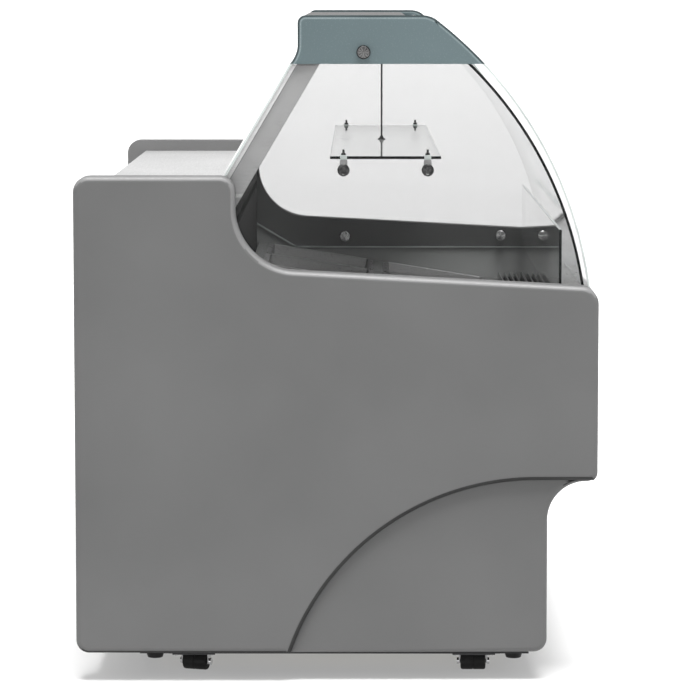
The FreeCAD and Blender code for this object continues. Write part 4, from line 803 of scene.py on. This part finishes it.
def buildPans(p):
    tip = Matrix.Rotation(math.radians(p["slope"]), 3, "X")
    level = tip.inverted()
    datum = Vector((0, *p["datum"])) * mm
    for row in ("rear", "front"):
        for side, count in (("left", 3), ("right", 2)):
            node = "pans_%s_%s" % (row, side)
            flat = [level @ (v.co - datum) for v in frame["nodes"][node].data.vertices]
            lowX = min(v.x for v in flat)
            highX = max(v.x for v in flat)
            lowY = min(v.y for v in flat)
            highY = max(v.y for v in flat)
            pitch = (highX - lowX - p["long"] * mm) / (count - 1)
            bm = bmesh.new()
            for number in range(count):
                addPan(bm, p, lowX + pitch * number, lowY, highY)
            bmesh.ops.remove_doubles(bm, verts=bm.verts, dist=merged)
            bmesh.ops.recalc_face_normals(bm, faces=bm.faces)
            up = sum(f.normal.z * f.calc_area() for f in bm.faces)
            if up < 0:
                bmesh.ops.reverse_faces(bm, faces=bm.faces)
            bmesh.ops.solidify(bm, geom=list(bm.faces), thickness=p["sheet"] * mm)
            bmesh.ops.rotate(bm, verts=bm.verts, cent=(0, 0, 0), matrix=tip)
            bmesh.ops.translate(bm, verts=bm.verts, vec=datum)
            finishPiece("pans" + row.capitalize() + side.capitalize(), bm, ["panSkin"], node, 30)


buildPans(panSet)
print("pans made")

# Rear panel with pressed louvres and its screws.
louvre = {"bays": (-380, 380), "half": 188, "first": 140, "pitch": 28, "count": 9, "out": 9, "tall": 12,
          "brow": 1.5, "edge": 1.0}
panelScrew = {"across": (-800, -270, 270, 800), "heights": (110, 985),
              "shape": [(0, 0), (6, 0), (6, 1), (4.5, 2.6), (0, 3.2)]}


def buildRearPanel(p):
    bm = softenedMesh("rear_panel", 0.4, 1)
    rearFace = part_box("rear_panel")[1].y
    for bay in p["bays"]:
        for number in range(p["count"]):
            foot = (p["first"] + p["pitch"] * number - 1) * mm
            start = (bay - p["half"]) * mm
            end = (start + p["half"] * 2 * mm, rearFace + p["out"] * mm, foot + p["tall"] * mm)
            verts = addBlock(bm, (start, rearFace, foot), end, 0, 1)
            top = [v for v in verts if v.co.y > rearFace + 1e-4 and v.co.z > foot + 1e-4]
            bmesh.ops.translate(bm, verts=top, vec=(0, -(p["out"] - p["brow"]) * mm, 0))
            bevelEdges(bm, {e for v in verts for e in v.link_edges}, p["edge"] * mm, 2)
    for x in panelScrew["across"]:
        for z in panelScrew["heights"]:
            verts = addTurned(bm, panelScrew["shape"], 20, 1)
            moveTo(bm, verts, (x * mm, rearFace, z * mm), "Y")
    finishPiece("rearPanel", bm, ("painted_sheet", "bright_steel"), "rear_panel")


buildRearPanel(louvre)

# Power inlet: a round socket with three pins.
inlet = {"pins": ((-4.5, -2), (4.5, -2), (0, 3.5)), "pinHalf": (1, 2), "pinSpan": (6, 15),
         "socket": [(16, 0), (16, 2.6), (14.6, 4), (11, 4), (11, 17), (10, 18), (8.4, 18), (8.2, 7), (0, 7)]}


def buildInlet(p):
    bm = bmesh.new()
    low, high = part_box("power_inlet")
    middle = (low + high) / 2
    moveTo(bm, addTurned(bm, p["socket"], 40, 0), (middle.x, low.y, middle.z), "Y")
    halfX, halfZ = p["pinHalf"]
    for x, z in p["pins"]:
        addBlock(bm, (middle.x + (x - halfX) * mm, low.y + p["pinSpan"][0] * mm, middle.z + (z - halfZ) * mm),
                 (middle.x + (x + halfX) * mm, low.y + p["pinSpan"][1] * mm, middle.z + (z + halfZ) * mm),
                 0.5 * mm, 2, 1)
    finishPiece("powerInlet", bm, ("black_plastic", "bright_steel"), "power_inlet")


buildInlet(inlet)

# Casters: each wheel's axle lies square to its fork, at the angle that fork has swivelled to.
caster = {"angles": {"front_left": 90, "rear_left": 72, "front_right": 65, "rear_right": 118}, "radius": 18,
          "wide": 52, "axle": 4.05, "hub": 12, "plateX": 765, "plateY": {"front": -286, "rear": 298},
          "boltHalf": 36, "boltHead": [(0, 0), (5.2, 0), (5.2, 1.4), (4, 2.2), (0, 2.2)]}


def buildWheel(p, place, angle):
    node = "caster_wheel_" + place
    low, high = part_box(node)
    half = p["wide"] / 2
    radius = p["radius"]
    axle = p["axle"]
    hub = p["hub"]
    side = [(axle, half - 1), (axle + 2.5, half), (hub - 2, half), (hub, half - 1.6), (hub + 1, half - 1.2),
            (radius - 3.5, half), (radius - 1, half - 1.2), (radius, half - 4), (radius, 1.5),
            (radius - 0.8, 0.8)]
    bm = bmesh.new()
    verts = addTurned(bm, side + [(r, -h) for r, h in reversed(side)] + [side[0]], 48)
    moveTo(bm, verts, (low + high) / 2, "X", math.radians(angle))
    finishPiece("casterWheel_" + place, bm, ["wheel_rubber"], node)


def buildCasters(p):
    for place, angle in p["angles"].items():
        buildWheel(p, place, angle)
        soften("caster_fork_" + place, 0.5, None, "casterFork_" + place)
    bm = softenedMesh("caster_plates", 0.8)
    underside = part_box("caster_plates")[0].z
    for place in p["angles"]:
        end, side = place.split("_")
        x = -p["plateX"] if side == "left" else p["plateX"]
        for across in (-p["boltHalf"], p["boltHalf"]):
            for along in (-p["boltHalf"], p["boltHalf"]):
                head = addTurned(bm, p["boltHead"], 6, 1)
                moveTo(bm, head, ((x + across) * mm, (p["plateY"][end] + along) * mm, underside), "-Z")
    finishPiece("casterPlates", bm, ("black_steel", "bright_steel"), "caster_plates")


buildCasters(caster)

# Levelling feet.
footPiece = {"pad": 19.5, "stem": 6, "padTall": 14, "threads": 14, "threadDeep": 0.6, "tip": 2}


def buildFoot(p, place):
    node = "levelling_foot_" + place
    low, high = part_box(node)
    tall = (high.z - low.z) / mm
    pad = p["pad"]
    stem = p["stem"]
    padTall = p["padTall"]
    spots = [(0, 0), (pad - 5, 0), (pad - 3.6, 1), (pad - 1.2, padTall - 5), (pad, padTall - 3),
             (pad, padTall - 1.4), (pad - 1, padTall - 0.2), (stem + 3, padTall), (stem - 0.5, padTall)]
    thread = (tall - padTall - p["tip"]) / p["threads"]
    for number in range(p["threads"]):
        base = padTall + thread * number
        spots += [(stem - 0.05, base + thread * 0.5), (stem - p["threadDeep"], base + thread)]
    spots += [(stem - 1, tall), (0, tall)]
    bm = bmesh.new()
    verts = addTurned(bm, spots, 36)
    moveTo(bm, verts, ((low.x + high.x) / 2, (low.y + high.y) / 2, low.z))
    finishPiece("levellingFoot_" + place, bm, ["black_plastic"], node, 24)


for place in caster["angles"]:
    buildFoot(footPiece, place)
print("running gear made")

# Compressor: a welded can on a plate with rubber feet, and its terminal box.
can = {"spot": (390, 20), "radius": 85, "plate": (300, 220, 14), "plateLow": 8, "footInset": 16,
       "foot": [(0, 0), (13, 0), (14, 2), (11, 6), (14, 9), (12, 12), (0, 12)],
       "boxX": (20, 72), "boxY": (-22, 28), "boxZ": (50, 110)}


def buildCompressor(p):
    low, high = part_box("compressor")
    base = low.z + p["plate"][2] * mm
    x, y = p["spot"]
    r = p["radius"]
    tall = (high.z - base) / mm
    bm = bmesh.new()
    spots = [(0, 0), (r - 14, 0), (r - 3, 8), (r - 1, 20), (r - 1, tall * 0.45), (r, tall * 0.46),
             (r, tall * 0.52), (r - 1, tall * 0.53), (r - 1.5, tall - 26), (r - 8, tall - 12),
             (r - 26, tall - 2.5), (r - 50, tall), (0, tall)]
    moveTo(bm, addTurned(bm, spots, 56), (x * mm, y * mm, base))
    halfX = p["plate"][0] / 2
    halfY = p["plate"][1] / 2
    addBlock(bm, ((x - halfX) * mm, (y - halfY) * mm, low.z + p["plateLow"] * mm),
             ((x + halfX) * mm, (y + halfY) * mm, base), 2 * mm, 2, 1)
    for across in (p["footInset"] - halfX, halfX - p["footInset"]):
        for along in (p["footInset"] - halfY, halfY - p["footInset"]):
            moveTo(bm, addTurned(bm, p["foot"], 24, 1), ((x + across) * mm, (y + along) * mm, low.z))
    corners = [((x + p["boxX"][end]) * mm, (y - r + p["boxY"][end]) * mm, base + p["boxZ"][end] * mm)
               for end in (0, 1)]
    addBlock(bm, *corners, 3 * mm, 3, 1)
    finishPiece("compressorCan", bm, ("black_steel", "wheel_rubber"), "compressor")


buildCompressor(can)

# Finned coils.
coil = {"inset": 14, "finHalf": 0.2, "finBack": 1, "finLow": 2, "plates": (10, 12), "plateThick": 2,
        "tube": 4.5, "tubeInset": 8}


def buildCoil(p, name, node, finPitch, rows, axis):
    # Thin fins stacked along X between two end plates, with straight tubes through them.
    low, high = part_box(node)
    bm = bmesh.new()
    inset = p["inset"] * mm
    span = high.x - low.x - inset * 2
    count = int(span / (finPitch * mm))
    for number in range(count + 1):
        x = low.x + inset + span * number / count
        addBlock(bm, (x - p["finHalf"] * mm, low.y + p["finBack"] * mm, low.z + p["finLow"] * mm),
                 (x + p["finHalf"] * mm, high.y - p["finBack"] * mm, high.z - p["finLow"] * mm))
    for x in (low.x + p["plates"][0] * mm, high.x - p["plates"][1] * mm):
        addBlock(bm, (x, low.y, low.z), (x + p["plateThick"] * mm, high.y, high.z), 0.5 * mm, 1, 1)
    tube = p["tube"]
    long = (high.x - low.x) / mm - p["tubeInset"] * 2
    for number in range(rows):
        share = (number + 0.5) / rows
        y = (low.y + high.y) / 2
        z = (low.z + high.z) / 2
        if axis == "Y":
            y = low.y + (high.y - low.y) * share
        else:
            z = low.z + (high.z - low.z) * share
        pipe = addTurned(bm, [(0, 0), (tube, 0), (tube, long), (0, long)], 12, 2)
        moveTo(bm, pipe, (low.x + p["tubeInset"] * mm, y, z), "X")
    finishPiece(name, bm, ("coil_fins", "aluminium_profile", "copper_pipe"), node, 30)


buildCoil(coil, "condenserCoil", "condenser_coil", 3.4, 9, "Z")
buildCoil(coil, "evaporatorCoil", "evaporator_coil", 6.0, 12, "Y")
print("machine made")

# Floor, light, camera: lengths in metres.
studio = {"floorHalf": 400.0, "sky": 0.7, "horizon": 1.6, "skyFrom": 0.35, "overhead": 6.4, "softness": 30,
          "lean": (3, -13), "topLight": 12.0, "topSpot": (-1.5, 0.2, 4.0), "topAim": (0, 0, 0.6),
          "topSize": (4.5, 3.5)}
bm = bmesh.new()
bmesh.ops.create_grid(bm, x_segments=2, y_segments=2, size=studio["floorHalf"])
floor = makeObject("studioFloor", bm)
floor.data.materials.append(finishes["studioFloor"])

world = bpy.data.worlds.new("studio")
bpy.context.scene.world = world
world.use_nodes = True
tree = world.node_tree
backdrop = tree.nodes["Background"]
backdrop.inputs["Color"].default_value = (1, 1, 1, 1)
heading = addNode(tree, "TexCoord")
parts = addNode(tree, "SeparateXYZ")
tree.links.new(heading.outputs["Generated"], parts.inputs["Vector"])
glow = between(tree, parts.outputs["Z"], studio["horizon"], studio["sky"], 0.0, studio["skyFrom"])
tree.links.new(glow, backdrop.inputs["Strength"])

lamp = bpy.data.lights.new("topSoftbox", "AREA")
lamp.shape = "RECTANGLE"
lamp.size, lamp.size_y = studio["topSize"]
lamp.energy = studio["topLight"]
softbox = bpy.data.objects.new("topSoftbox", lamp)
softbox.location = studio["topSpot"]
aim = Vector(studio["topAim"]) - Vector(studio["topSpot"])
softbox.rotation_euler = aim.to_track_quat("-Z", "Y").to_euler()
bpy.context.scene.collection.objects.link(softbox)

overhead = bpy.data.lights.new("overhead", "SUN")
overhead.energy = studio["overhead"]
overhead.angle = math.radians(studio["softness"])
overheadPiece = bpy.data.objects.new("overhead", overhead)
overheadPiece.rotation_euler = (*(math.radians(turn) for turn in studio["lean"]), 0)
bpy.context.scene.collection.objects.link(overheadPiece)

view = {"spot": (-8.1, -0.0464, 1.4248), "pitch": 5.84, "yaw": 0.145, "lens": 182.4, "sensor": 36, "far": 900}
cameraData = bpy.data.cameras.new("camera")
cameraData.lens = view["lens"]
cameraData.sensor_width = view["sensor"]
cameraData.clip_end = view["far"]
camera = bpy.data.objects.new("camera", cameraData)
camera.location = view["spot"]
camera.rotation_euler = (math.radians(90 - view["pitch"]), 0, math.radians(-90 + view["yaw"]))
bpy.context.scene.collection.objects.link(camera)
bpy.context.scene.camera = camera
bpy.context.scene.view_settings.view_transform = "Standard"
print("studio ready")
